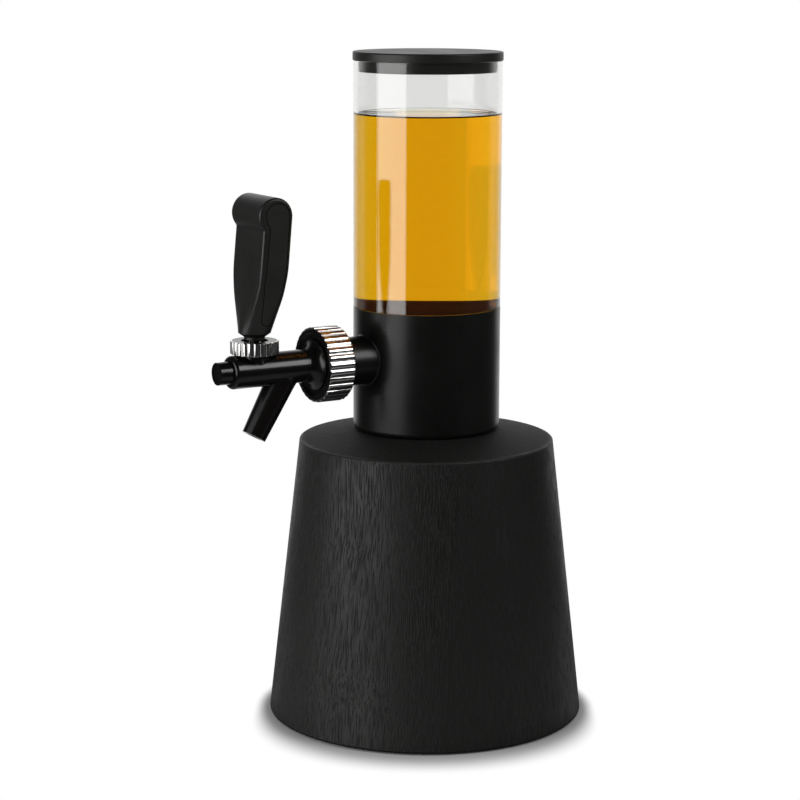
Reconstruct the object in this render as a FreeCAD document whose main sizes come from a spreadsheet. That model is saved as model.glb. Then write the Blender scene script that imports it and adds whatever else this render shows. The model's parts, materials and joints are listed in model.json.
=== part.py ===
import FreeCAD, Part
import math
import os
import re

import Sketcher

# A tabletop beer tower: a clear tube that stands in a black socket on a turned wooden block, with a
# lever tap on the socket and a loose lid on the tube.
#
# Frame: millimetres, +Z up, origin at the centre of the underside. The tap points towards -Y.
# The tap's pieces are drawn lying along their own +Z, which is the distance from the tower's axis,
# with +Y up, and a placement lays them along the tap's axis. The lever's pieces are drawn upright,
# with their heights counted from the tap's axis.

# name, size and meaning of each driving dimension
SIZES = (
    # block and fixings
    ("pad_margin", 8.1, "width of the block's foot round the anti-slip pad"),
    ("pad_thickness", 3.0, "thickness of the anti-slip pad"),
    ("pad_proud", 1.0, "height of the block's underside above the table"),
    ("pad_gap", 0.2, "gap round the pad in its recess"),
    ("block_foot_radius", 103.1, "radius of the block at its foot"),
    ("block_foot_round", 1.5, "rounding of the block's foot"),
    ("block_shoulder_radius", 82.6, "radius of the block at its shoulder"),
    ("block_shoulder_round", 1.6, "rounding of the shoulder's edge"),
    ("block_seat_radius", 47.6, "radius of the flat on which the socket stands"),
    ("block_height", 189.9, "height of that flat"),
    ("shoulder_drop", 7.1, "height of that flat above the shoulder's edge"),
    ("bolt_radius", 4.0, "radius of the tower bolt"),
    ("bolt_engagement", 9.5, "length of thread in the socket's insert"),
    ("bolt_hole_gap", 0.5, "gap round the bolt in the block"),
    ("thread_gap", 0.05, "radial gap that stands for a thread"),
    ("bolt_head_flats", 13.0, "width across the flats of the bolt's head"),
    ("bolt_head_height", 5.3, "height of the bolt's head"),
    ("washer_radius", 12.0, "radius of the bolt's washer"),
    ("washer_thickness", 1.6, "thickness of the bolt's washer"),
    ("counterbore_radius", 15.0, "radius of the counterbore for the bolt's head"),
    ("counterbore_depth", 18.6, "depth of that counterbore above the anti-slip pad"),
    # socket and tube
    ("tower_radius", 47.5, "outer radius of the tube and of the socket"),
    ("socket_wall", 5.0, "wall of the socket"),
    ("socket_floor", 12.0, "floor of the socket"),
    ("socket_height", 80.0, "height of the socket"),
    ("socket_foot_round", 3.5, "rounding of the socket's lower edge"),
    ("socket_floor_round", 5.0, "rounding inside, at the socket's floor"),
    ("insert_radius", 6.0, "radius of the threaded insert"),
    ("insert_height", 10.3, "height of the threaded insert"),
    ("fit_gap", 0.05, "gap round a piece that is pressed or moulded in"),
    ("tube_wall", 3.0, "wall of the tube"),
    ("tube_length", 167.5, "length of the tube with its spigot"),
    ("spigot_depth", 10.3, "length of the spigot on the tube"),
    ("spigot_wall", 1.5, "wall of the spigot"),
    ("spigot_gap", 0.1, "gap round the spigot in the socket"),
    ("gasket_thickness", 2.0, "thickness of the tube's gasket"),
    ("gasket_overlap", 1.0, "width of gasket that shows inside the spigot"),
    ("tube_edge_bevel", 0.3, "bevel of the tube's top edges"),
    ("beer_depth", 190.8, "depth of the beer above the socket's floor"),
    ("beer_gap", 0.1, "gap that is left round the beer"),
    # lid
    ("lid_thickness", 5.5, "thickness of the lid's plate"),
    ("lid_overhang", 0.5, "reach of the lid's plate past the tube"),
    ("lid_edge_round", 1.0, "rounding of the lid's edge"),
    ("lid_lip_depth", 7.2, "depth of the lip that hangs in the tube"),
    ("lid_lip_gap", 0.25, "gap between the lip and the tube"),
    ("lid_lip_wall", 3.0, "wall of the lip"),
    # boss and coupling
    ("tap_height", 48.1, "height of the tap's axis above the socket's foot"),
    ("boss_radius", 15.5, "radius of the boss on the socket"),
    ("boss_reach", 67.0, "reach of the boss"),
    ("boss_inset", 0.5, "depth of wall between the socket's bore and the boss's buried end"),
    ("boss_root_round", 1.5, "rounding where the boss meets the socket"),
    ("thread_radius", 18.0, "outer radius of the thread at the boss's end"),
    ("thread_length", 10.5, "length of that thread"),
    ("boss_bore", 8.0, "radius of the bore through the boss"),
    ("inlet_washer_margin", 1.5, "width of the boss's end round the washer between boss and tap"),
    ("inlet_washer_thickness", 2.0, "thickness of that washer"),
    ("nut_radius", 24.0, "radius of the coupling nut over its ribs"),
    ("nut_band", 1.4, "thickness of the nut's chromed band with its ribs"),
    ("nut_length", 19.0, "length of the coupling nut"),
    ("nut_overlap", 1.0, "length of the nut past the thread, towards the tower"),
    ("nut_ring_width", 2.6, "width of the raised ring on the nut's front"),
    ("nut_ring_proud", 1.8, "height of that ring"),
    ("nut_lip_gap", 0.25, "gap round the tap's neck in the nut"),
    ("nut_face_gap", 0.1, "gap along the axis between the nut and the tap's flange"),
    ("nut_thread_gap", 0.09, "radial gap in the nut's thread"),
    ("nut_ribs", 30, "number of ribs round the coupling nut"),
    ("nut_flute_radius", 0.95, "radius of the flutes between those ribs"),
    ("nut_rear_bevel", 1.2, "bevel at the rear end of the ribs"),
    ("nut_front_bevel", 0.5, "bevel at the front end of the ribs"),
    ("band_inset", 0.4, "set-back of a chromed band from the ends of its nut"),
    # tap body
    ("flange_gap", 0.49, "gap between the nut's thread and the flange that the nut holds"),
    ("flange_thickness", 2.0, "thickness of that flange"),
    ("neck_radius", 16.0, "radius of the neck in front of the flange"),
    ("neck_length", 2.7, "length of that neck"),
    ("flare_length", 7.8, "length of the flare from the neck to the barrel"),
    ("barrel_radius", 10.5, "radius of the barrel"),
    ("barrel_nose", 18.0, "length of the barrel in front of the lever's axis"),
    ("barrel_front_round", 2.3, "rounding of the barrel's front edge"),
    ("inlet_bore", 7.8, "radius of the inlet"),
    ("inlet_depth", 9.5, "depth of the inlet, up to the valve seat"),
    ("gallery_bore", 5.0, "radius of the passage behind the seat"),
    ("guide_offset", 9.2, "distance of the plunger's guide in front of the spout's root"),
    ("running_gap", 0.08, "radial gap round the plunger"),
    ("spout_offset", 11.0, "distance of the spout's root in front of the flare"),
    ("spout_lean", 30.0, "lean of the spout from the vertical, in degrees"),
    ("spout_length", 48.3, "length of the spout from the barrel's axis"),
    ("spout_root_radius", 9.7, "radius of the spout at the barrel's axis"),
    ("spout_tip_radius", 7.8, "radius of the spout at its tip"),
    ("spout_bore", 5.0, "radius of the bore in the spout"),
    ("port_bore", 4.0, "radius of the port between the passage and that bore"),
    ("port_length", 12.0, "length of the port from the barrel's axis"),
    ("post_radius", 9.4, "radius of the lever's post on the barrel"),
    ("post_height", 14.4, "height of the post above the tap's axis"),
    ("post_bore", 5.0, "radius of the bore down the post"),
    ("seat_pocket_radius", 7.0, "radius of the pocket for the ball's seat"),
    # lever, seat and bonnet
    ("lever_offset", 9.5, "distance of the lever's axis in front of the plunger's rear shoulder"),
    ("pivot_rise", 0.1, "height of the lever's pivot above the post"),
    ("ball_radius", 5.0, "radius of the pivot ball"),
    ("ball_gap", 0.1, "gap round the pivot ball"),
    ("seat_height", 3.5, "height of the ball's seat"),
    ("seat_lower_bore", 3.8, "radius of the hole under the ball's seat"),
    ("bonnet_washer_thickness", 0.8, "thickness of the washer under the bonnet"),
    ("bonnet_drop", 3.5, "height of the post above the bonnet's lower end"),
    ("bonnet_height", 8.2, "height of the bonnet"),
    ("bonnet_radius", 15.3, "radius of the bonnet over its ribs"),
    ("bonnet_band", 1.4, "thickness of the bonnet's chromed band with its ribs"),
    ("bonnet_lip", 1.5, "thickness of the lip that holds the ball"),
    ("bonnet_opening", 8.5, "radius of the bonnet's upper opening"),
    ("bonnet_gap", 0.1, "gap between the bonnet's lip and its washer"),
    ("washer_ball_gap", 0.3, "gap between that washer and the pivot ball"),
    ("bonnet_ribs", 24, "number of ribs round the bonnet"),
    ("bonnet_flute_radius", 0.85, "radius of the flutes between those ribs"),
    ("bonnet_bevel", 0.4, "bevel at the ends of the bonnet's ribs"),
    ("tip_radius", 3.0, "radius of the ball at the lever's lower tip"),
    ("tip_gap", 0.3, "gap between that ball and the plunger's slot"),
    ("lever_neck_radius", 2.2, "radius of the lever between its balls"),
    ("stud_radius", 3.0, "radius of the lever's upper stud"),
    ("stud_top", 23.5, "height of the stud's end above the lever's pivot"),
    ("lever_tilt", 15.0, "tilt of the lever when the tap is open, in degrees"),
    # plunger
    ("plunger_radius", 7.3, "radius of the plunger"),
    ("plunger_run", 4.3, "free length of the guide behind the plunger's rear shoulder"),
    ("stub_proud", 8.5, "reach of the plunger past the barrel's front"),
    ("stub_face_radius", 7.1, "radius of the plunger at its front face"),
    ("stub_dish_radius", 5.5, "radius of the shallow dish in that face"),
    ("stub_dish_depth", 0.4, "depth of that dish"),
    ("rod_radius", 3.0, "radius of the plunger's rod"),
    ("seal_radius", 6.8, "radius of the valve seal"),
    ("seal_thickness", 3.2, "thickness of the valve seal"),
    ("valve_gap", 0.1, "gap that stands for the seal's squeeze on its seat"),
    ("screw_radius", 1.5, "radius of the seal screw"),
    ("screw_length", 8.0, "length of the screw in the rod"),
    ("screw_head_radius", 3.2, "radius of the screw's head"),
    ("screw_head_height", 2.0, "height of the screw's head"),
    ("ring_section", 0.8, "radius of an O-ring's section"),
    ("ring_squeeze", 0.03, "gap between an O-ring and the guide"),
    ("rear_ring_offset", 2.4, "distance of the rear O-ring in front of the plunger's rear shoulder"),
    ("front_ring_offset", 5.5, "distance of the front O-ring behind the barrel's front"),
    # handle
    ("handle_width", 38.4, "width of the handle"),
    ("handle_foot", 7.0, "height of the handle's lower face above the lever's pivot"),
    ("handle_neck_radius", 6.6, "radius of the short neck under the handle"),
    ("handle_neck_length", 1.5, "length of that neck"),
    ("handle_foot_bevel", 2.5, "bevel round the handle's foot"),
    ("handle_foot_radius", 10.2, "radius of the handle's foot"),
    ("flare_height", 40.5, "height above the lever's pivot at which the handle reaches its full section"),
    ("handle_back", 13.8, "depth of the full section behind the lever's axis"),
    ("handle_front", 5.8, "depth of the full section before the lever's axis"),
    ("head_radius", 11.6, "radius of the handle's round head"),
    ("head_offset", 5.9, "distance of the head's centre behind the lever's axis"),
    ("head_height", 82.9, "height of the head's centre above the lever's pivot"),
    ("crook_angle", 38.5, "angle under the head's centre at which its crook starts, in degrees"),
    ("crook_radius", 2.5, "radius of the hollow crook under the head"),
    ("handle_round", 1.8, "rounding along the handle's edges"),
    ("panel_depth", 1.6, "depth of the side panels' recesses"),
    ("panel_seat_gap", 0.05, "gap under a side panel"),
    ("panel_groove", 0.5, "width of the groove round a side panel"),
    ("panel_front_margin", 3.2, "distance of a panel's recess from the front edge"),
    ("panel_back_margin", 1.9, "distance of a panel's recess from the back edge"),
    ("panel_head_radius", 8.4, "radius of a panel's recess at the head"),
    ("panel_crook_radius", 4.0, "radius of a panel's recess in the crook"),
    ("panel_foot", 14.5, "height of a panel's lower end above the lever's pivot"),
    ("panel_foot_radius", 4.2, "radius of a panel's rounded lower end"),
    ("panel_foot_offset", 2.4, "distance of that end's centre behind the lever's axis"),
    ("panel_head_shift", 1.0, "set-back of a panel's head from the centre of the handle's head"),
    ("grip_insert_radius", 4.5, "radius of the insert in the handle"),
    ("grip_insert_base", 8.0, "height of the insert's lower end above the lever's pivot"),
)

ALIASES = {alias for alias, number, note in SIZES}
WORD = re.compile(r"[a-z_]+")
LEFT, RIGHT = 1, -1
FULL_TURN = 360
SAME_PLACE = 1e-3  # two places closer than this count as one
FOOT_ARCS = (-55, -35, 35, 55, 125, 145, 215, 235)  # ends of the arcs of the handle's foot, degrees

# places that follow from the driving dimensions, as formulas
PAD_TOP = "pad_thickness"
PAD_RADIUS = "(block_foot_radius - pad_margin)"
SHOULDER = "(block_height - shoulder_drop)"
COUNTERBORE_TOP = "(pad_thickness + counterbore_depth)"
HEAD_SEAT = f"({COUNTERBORE_TOP} - washer_thickness)"
BOLT_TIP = "(block_height + bolt_engagement)"
HOLE_RADIUS = "(bolt_radius + bolt_hole_gap)"
SOCKET_BORE = "(tower_radius - socket_wall)"
SOCKET_RIM = "(block_height + socket_height)"
CUP_FLOOR = "(block_height + socket_floor)"
INSERT_HOLE = "(insert_radius + fit_gap)"
INSERT_TOP = "(block_height + insert_height + fit_gap)"
SPIGOT_RADIUS = "(tower_radius - tube_wall + spigot_wall)"
REBATE_RADIUS = f"({SPIGOT_RADIUS} + spigot_gap)"
TUBE_FOOT = f"({SOCKET_RIM} - spigot_depth)"
REBATE_FLOOR = f"({TUBE_FOOT} - gasket_thickness)"
TUBE_BORE = "(tower_radius - tube_wall)"
TUBE_TOP = f"({TUBE_FOOT} + tube_length)"
LIP_RADIUS = f"({TUBE_BORE} - lid_lip_gap)"
TAP_AXIS = "(block_height + tap_height)"
BOSS_FACE = "(boss_reach + thread_length)"
TAP_FACE = f"({BOSS_FACE} + inlet_washer_thickness)"
FLANGE_FRONT = f"({TAP_FACE} + flange_thickness)"
NECK_FRONT = f"({FLANGE_FRONT} + neck_length)"
FLARE_FRONT = f"({NECK_FRONT} + flare_length)"
VALVE_SEAT = f"({TAP_FACE} + inlet_depth)"
SPOUT_ROOT = f"({FLARE_FRONT} + spout_offset)"
GUIDE_START = f"({SPOUT_ROOT} + guide_offset)"
PLUNGER_START = f"({GUIDE_START} + plunger_run)"
LEVER_AXIS = f"({PLUNGER_START} + lever_offset)"
BARREL_FRONT = f"({LEVER_AXIS} + barrel_nose)"
STUB_FACE = f"({BARREL_FRONT} + stub_proud)"
REAR_RING = f"({PLUNGER_START} + rear_ring_offset)"
FRONT_RING = f"({BARREL_FRONT} - front_ring_offset)"
GUIDE_BORE = "(plunger_radius + running_gap)"
NUT_REAR = "(boss_reach - nut_overlap)"
NUT_FRONT = f"({NUT_REAR} + nut_length)"
NUT_RECESS = f"({NUT_FRONT} - nut_ring_proud)"
NUT_LIP_BORE = "(neck_radius + nut_lip_gap)"
NUT_THREAD_BORE = "(thread_radius + nut_thread_gap)"
NUT_CORE = "(nut_radius - nut_band)"
FLANGE_RADIUS = f"({NUT_THREAD_BORE} - flange_gap)"
INLET_WASHER = "(thread_radius - inlet_washer_margin)"
PIVOT = "(post_height + pivot_rise)"
SEAL_FRONT = f"({VALVE_SEAT} - valve_gap)"
SEAL_REAR = f"({SEAL_FRONT} - seal_thickness)"
SEAT_FLOOR = "(post_height - seat_height - fit_gap)"
BALL_CUP = "(ball_radius + ball_gap)"
LIP_FLOOR = "(post_height + bonnet_washer_thickness + bonnet_gap)"
LIP_TOP = f"({LIP_FLOOR} + bonnet_lip)"
BONNET_BASE = "(post_height - bonnet_drop)"
BONNET_TOP = f"({BONNET_BASE} + bonnet_height)"
BONNET_CORE = "(bonnet_radius - bonnet_band)"
BONNET_BORE = "(post_radius + thread_gap)"
STUD_TOP = f"({PIVOT} + stud_top)"
HANDLE_FOOT = f"({PIVOT} + handle_foot)"
NECK_FOOT = f"({HANDLE_FOOT} - handle_neck_length)"
HANDLE_BODY_BASE = f"({HANDLE_FOOT} + handle_foot_bevel)"
FLARE_TOP = f"({PIVOT} + flare_height)"
HEAD_CENTRE = f"({PIVOT} + head_height)"
INSERT_BASE = f"({PIVOT} + grip_insert_base)"


def bind(formula):
    """Point each size's name in a formula at its cell in the sheet."""
    return WORD.sub(lambda word: "Sizes." + word.group() if word.group() in ALIASES else word.group(),
                    str(formula))


def value(formula):
    """Work a formula out as a number."""
    return float(sheet.evalExpression(bind(formula)))


def write_sizes():
    """Fill the sheet with the driving dimensions."""
    for row, (alias, number, note) in enumerate(SIZES, 1):
        sheet.set(f"A{row}", note)
        sheet.set(f"B{row}", str(number))
        sheet.setAlias(f"B{row}", alias)
    doc.recompute()


def new_body(name):
    """Start a body whose label is its node's name."""
    body = doc.addObject("PartDesign::Body", name)
    body.Label = name
    return body


def pin_point(sketch, geometry, end, place):
    """Tie a point of a sketch to a pair of formulas."""
    for kind, on_axis, formula in (("DistanceX", -2, place[0]), ("DistanceY", -1, place[1])):
        if formula == "0":
            sketch.addConstraint(Sketcher.Constraint("PointOnObject", geometry, end, on_axis))
            continue
        bound = sketch.addConstraint(Sketcher.Constraint(kind, -1, 1, geometry, end, value(formula)))
        sketch.setExpression(f"Constraints[{bound}]", bind(formula))


def draw_loop(sketch, steps):
    """Draw a closed outline of straight steps (x, y) and arc steps (x, y, centre x, centre y, turn)."""
    points = [FreeCAD.Vector(value(step[0]), value(step[1]), 0) for step in steps]
    joints = []
    for index, step in enumerate(steps):
        start, stop = points[index - 1], points[index]
        if len(step) == 2:
            geometry = sketch.addGeometry(Part.LineSegment(start, stop), False)
            joints.append((geometry, 1, 2))
            continue
        centre = FreeCAD.Vector(value(step[2]), value(step[3]), 0)
        first, last = (start, stop) if step[4] == LEFT else (stop, start)
        angles = [math.atan2(point.y - centre.y, point.x - centre.x) for point in (first, last)]
        circle = Part.Circle(centre, FreeCAD.Vector(0, 0, 1), (first - centre).Length)
        geometry = sketch.addGeometry(Part.ArcOfCircle(circle, angles[0], angles[1]), False)
        joints.append((geometry, 1, 2) if step[4] == LEFT else (geometry, 2, 1))
        chord = stop - start
        across = abs(chord.x) > abs(chord.y)
        kind, formula = ("DistanceY", step[3]) if across else ("DistanceX", step[2])
        if formula == "0":
            sketch.addConstraint(Sketcher.Constraint("PointOnObject", geometry, 3, -1 if across else -2))
        else:
            bound = sketch.addConstraint(Sketcher.Constraint(kind, -1, 1, geometry, 3, value(formula)))
            sketch.setExpression(f"Constraints[{bound}]", bind(formula))
    for index, (geometry, start, end) in enumerate(joints):
        before = joints[index - 1]
        sketch.addConstraint(Sketcher.Constraint("Coincident", before[0], before[2], geometry, start))
        pin_point(sketch, geometry, end, steps[index])


def draw_circle(sketch, centre, radius):
    """Draw a circle with a bound centre and radius."""
    middle = FreeCAD.Vector(value(centre[0]), value(centre[1]), 0)
    circle = Part.Circle(middle, FreeCAD.Vector(0, 0, 1), value(radius))
    geometry = sketch.addGeometry(circle, False)
    pin_point(sketch, geometry, 3, centre)
    bound = sketch.addConstraint(Sketcher.Constraint("Radius", geometry, value(radius)))
    sketch.setExpression(f"Constraints[{bound}]", bind(radius))


def draw_axis(sketch, start, stop):
    """Draw a construction line that a revolve turns about."""
    ends = [FreeCAD.Vector(value(place[0]), value(place[1]), 0) for place in (start, stop)]
    geometry = sketch.addGeometry(Part.LineSegment(*ends), True)
    pin_point(sketch, geometry, 1, start)
    pin_point(sketch, geometry, 2, stop)


def new_sketch(body, name, plane, height="0"):
    """Attach an empty sketch to one of the body's own origin planes, at a height above it."""
    sketch = body.newObject("Sketcher::SketchObject", name)
    roles = {feature.Role: feature for feature in body.Origin.OriginFeatures}
    sketch.AttachmentSupport = [(roles[plane], "")]
    sketch.MapMode = "FlatFace"
    sketch.setExpression("AttachmentOffset.Base.z", bind(height))
    return sketch


def revolve(body, name, steps, kind="Revolution", plane="XZ_Plane", axis=None):
    """Turn an outline about the body's Z axis, or about a line drawn in its sketch."""
    sketch = new_sketch(body, name + "_sketch", plane)
    draw_loop(sketch, steps)
    if axis:
        draw_axis(sketch, *axis)
    feature = body.newObject("PartDesign::" + kind, name)
    feature.Profile = sketch
    feature.ReferenceAxis = (sketch, ["Axis0" if axis else "V_Axis"])
    feature.Angle = FULL_TURN
    doc.recompute()
    return feature


def pad(body, name, sketch, length, kind="Pad", side="One side", flip=False):
    """Extrude a sketch by a bound length."""
    feature = body.newObject("PartDesign::" + kind, name)
    feature.Profile = sketch
    feature.SideType = side
    feature.Reversed = flip
    feature.setExpression("Length", bind(length))
    doc.recompute()
    return feature


def fillet(body, name, radius, chosen):
    """Round the edges of the body's tip that a test picks out."""
    base = body.Tip
    names = [f"Edge{index}" for index, edge in enumerate(base.Shape.Edges, 1) if chosen(edge)]
    feature = body.newObject("PartDesign::Fillet", name)
    feature.Base = (base, names)
    feature.setExpression("Radius", bind(radius))
    doc.recompute()
    return feature


def ring(name, outer, inner, low, high):
    """Make a plain ring or washer about the body's Z axis."""
    body = new_body(name)
    steps = [(inner, low), (outer, low), (outer, high), (inner, high)]
    revolve(body, name + "_turn", steps)
    return body


def lay_along_tap(body):
    """Lay a piece of the tap along the tap's axis, which points towards -Y."""
    body.Placement = FreeCAD.Placement(FreeCAD.Vector(0, 0, value(TAP_AXIS)),
                                       FreeCAD.Rotation(FreeCAD.Vector(1, 0, 0), 90))
    body.setExpression("Placement.Base.z", bind(TAP_AXIS))
    return body


def stand_at_lever(piece):
    """Stand a piece of the lever on the lever's axis, with its heights counted from the tap's axis."""
    piece.setExpression("Placement.Base.y", bind("-" + LEVER_AXIS))
    piece.setExpression("Placement.Base.z", bind(TAP_AXIS))
    return piece


def at_radius(edge, radius, height):
    """Say whether an edge is a circle about Z of that radius at that height."""
    curve = edge.Curve
    return (isinstance(curve, Part.Circle) and abs(curve.Radius - radius) < SAME_PLACE
            and abs(curve.Center.z - height) < SAME_PLACE)


# ---------------------------------------------------------------- block and fixings

def make_block():
    """Turn the wooden block: counterbored for the bolt, recessed for the pad, sloped at the shoulder."""
    body = new_body("base_block")
    recess = f"({PAD_RADIUS} + pad_gap)"
    revolve(body, "block_turn", [
        (HOLE_RADIUS, COUNTERBORE_TOP), ("counterbore_radius", COUNTERBORE_TOP),
        ("counterbore_radius", PAD_TOP), (recess, PAD_TOP), (recess, "pad_proud"),
        ("block_foot_radius", "pad_proud"), ("block_shoulder_radius", SHOULDER),
        ("block_seat_radius", "block_height"), (HOLE_RADIUS, "block_height")])
    foot, proud = value("block_foot_radius"), value("pad_proud")
    fillet(body, "foot_round", "block_foot_round", lambda edge: at_radius(edge, foot, proud))
    shoulder, height = value("block_shoulder_radius"), value(SHOULDER)
    fillet(body, "shoulder_round", "block_shoulder_round",
           lambda edge: at_radius(edge, shoulder, height))
    return body


def make_pad():
    """Cut the anti-slip pad that the whole tower stands on."""
    body = new_body("anti_slip_pad")
    sketch = new_sketch(body, "pad_outline", "XY_Plane")
    draw_circle(sketch, ("0", "0"), PAD_RADIUS)
    pad(body, "pad_sheet", sketch, "pad_thickness")
    return body


def make_bolt():
    """Make the long hexagon bolt that draws the socket down on the block."""
    body = new_body("tower_bolt")
    revolve(body, "shank", [("0", HEAD_SEAT), ("bolt_radius", HEAD_SEAT),
                            ("bolt_radius", BOLT_TIP), ("0", BOLT_TIP)])
    sketch = new_sketch(body, "head_outline", "XY_Plane", f"{HEAD_SEAT} - bolt_head_height")
    corners = [(f"bolt_head_flats / 2 / cos(30) * cos({angle})",
                f"bolt_head_flats / 2 / cos(30) * sin({angle})") for angle in range(30, 390, 60)]
    draw_loop(sketch, corners)
    pad(body, "head", sketch, "bolt_head_height")
    return body


def make_insert():
    """Make the blind threaded insert that is moulded into the socket's floor."""
    body = new_body("socket_insert")
    bore, top = "(bolt_radius + thread_gap)", "(block_height + insert_height)"
    blind = f"({BOLT_TIP} + fit_gap)"
    revolve(body, "insert_turn", [(bore, "block_height"), ("insert_radius", "block_height"),
                                  ("insert_radius", top), ("0", top), ("0", blind), (bore, blind)])
    return body


# ---------------------------------------------------------------- socket, tube and lid

def make_socket():
    """Mould the socket: a cup rebated for the tube, with the tap's bored and threaded boss."""
    body = new_body("socket")
    revolve(body, "cup", [
        (INSERT_HOLE, "block_height"),
        ("tower_radius - socket_foot_round", "block_height"),
        ("tower_radius", "block_height + socket_foot_round",
         "tower_radius - socket_foot_round", "block_height + socket_foot_round", LEFT),
        ("tower_radius", SOCKET_RIM), (REBATE_RADIUS, SOCKET_RIM), (REBATE_RADIUS, REBATE_FLOOR),
        (SOCKET_BORE, REBATE_FLOOR), (SOCKET_BORE, f"{CUP_FLOOR} + socket_floor_round"),
        (f"{SOCKET_BORE} - socket_floor_round", CUP_FLOOR,
         f"{SOCKET_BORE} - socket_floor_round", f"{CUP_FLOOR} + socket_floor_round", RIGHT),
        ("0", CUP_FLOOR), ("0", INSERT_TOP), (INSERT_HOLE, INSERT_TOP)])
    axis = (("0", TAP_AXIS), ("-" + BOSS_FACE, TAP_AXIS))
    root = f"-({SOCKET_BORE} + boss_inset)"
    revolve(body, "boss", [
        (root, TAP_AXIS), (root, f"{TAP_AXIS} + boss_radius"),
        ("-boss_reach", f"{TAP_AXIS} + boss_radius"), ("-boss_reach", f"{TAP_AXIS} + thread_radius"),
        ("-" + BOSS_FACE, f"{TAP_AXIS} + thread_radius"), ("-" + BOSS_FACE, TAP_AXIS)],
        plane="YZ_Plane", axis=axis)
    boss, skin = value("boss_radius"), value("tower_radius")

    def is_root(edge):
        points = [edge.valueAt(edge.FirstParameter + share * (edge.LastParameter - edge.FirstParameter))
                  for share in (0.1, 0.5, 0.9)]
        return all(abs(math.hypot(point.x, point.z - value(TAP_AXIS)) - boss) < SAME_PLACE
                   and abs(math.hypot(point.x, point.y) - skin) < SAME_PLACE for point in points)

    fillet(body, "boss_root", "boss_root_round", is_root)
    revolve(body, "boss_bore_cut", [
        ("0", TAP_AXIS), ("0", f"{TAP_AXIS} + boss_bore"),
        (f"-{BOSS_FACE} - fit_gap", f"{TAP_AXIS} + boss_bore"), (f"-{BOSS_FACE} - fit_gap", TAP_AXIS)],
        kind="Groove", plane="YZ_Plane", axis=axis)
    return body


def make_tube():
    """Turn the clear tube, with the thinner spigot that stands in the socket's rebate."""
    body = new_body("clear_tube")
    revolve(body, "tube_turn", [
        (TUBE_BORE, TUBE_FOOT), (SPIGOT_RADIUS, TUBE_FOOT), (SPIGOT_RADIUS, SOCKET_RIM),
        ("tower_radius", SOCKET_RIM), ("tower_radius", f"{TUBE_TOP} - tube_edge_bevel"),
        ("tower_radius - tube_edge_bevel", TUBE_TOP), (f"{TUBE_BORE} + tube_edge_bevel", TUBE_TOP),
        (TUBE_BORE, f"{TUBE_TOP} - tube_edge_bevel")])
    return body


def make_beer():
    """Fill the socket and the tube with beer, clear of their walls by the beer's gap."""
    body = new_body("beer_fill")
    lower, upper = f"({SOCKET_BORE} - beer_gap)", f"({TUBE_BORE} - beer_gap)"
    floor, step = f"({CUP_FLOOR} + beer_gap)", f"({TUBE_FOOT} + beer_gap)"
    revolve(body, "beer_turn", [
        ("0", floor), (f"{lower} - socket_floor_round", floor),
        (lower, f"{floor} + socket_floor_round",
         f"{lower} - socket_floor_round", f"{floor} + socket_floor_round", LEFT),
        (lower, step), (upper, step), (upper, f"{CUP_FLOOR} + beer_depth"),
        ("0", f"{CUP_FLOOR} + beer_depth")])
    return body


def make_lid():
    """Mould the loose lid: a flat plate with a hollow lip that hangs in the tube."""
    body = new_body("lid_cap")
    edge, top = "(tower_radius + lid_overhang)", f"({TUBE_TOP} + lid_thickness)"
    lip_low, lip_bore = f"({TUBE_TOP} - lid_lip_depth)", f"({LIP_RADIUS} - lid_lip_wall)"
    revolve(body, "lid_turn", [
        ("0", TUBE_TOP), (lip_bore, TUBE_TOP), (lip_bore, lip_low), (LIP_RADIUS, lip_low),
        (LIP_RADIUS, TUBE_TOP), (edge, TUBE_TOP), (edge, f"{top} - lid_edge_round"),
        ("tower_radius + lid_overhang - lid_edge_round", top,
         "tower_radius + lid_overhang - lid_edge_round", f"{top} - lid_edge_round", LEFT),
        ("0", top)])
    return body


# ---------------------------------------------------------------- tap

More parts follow.
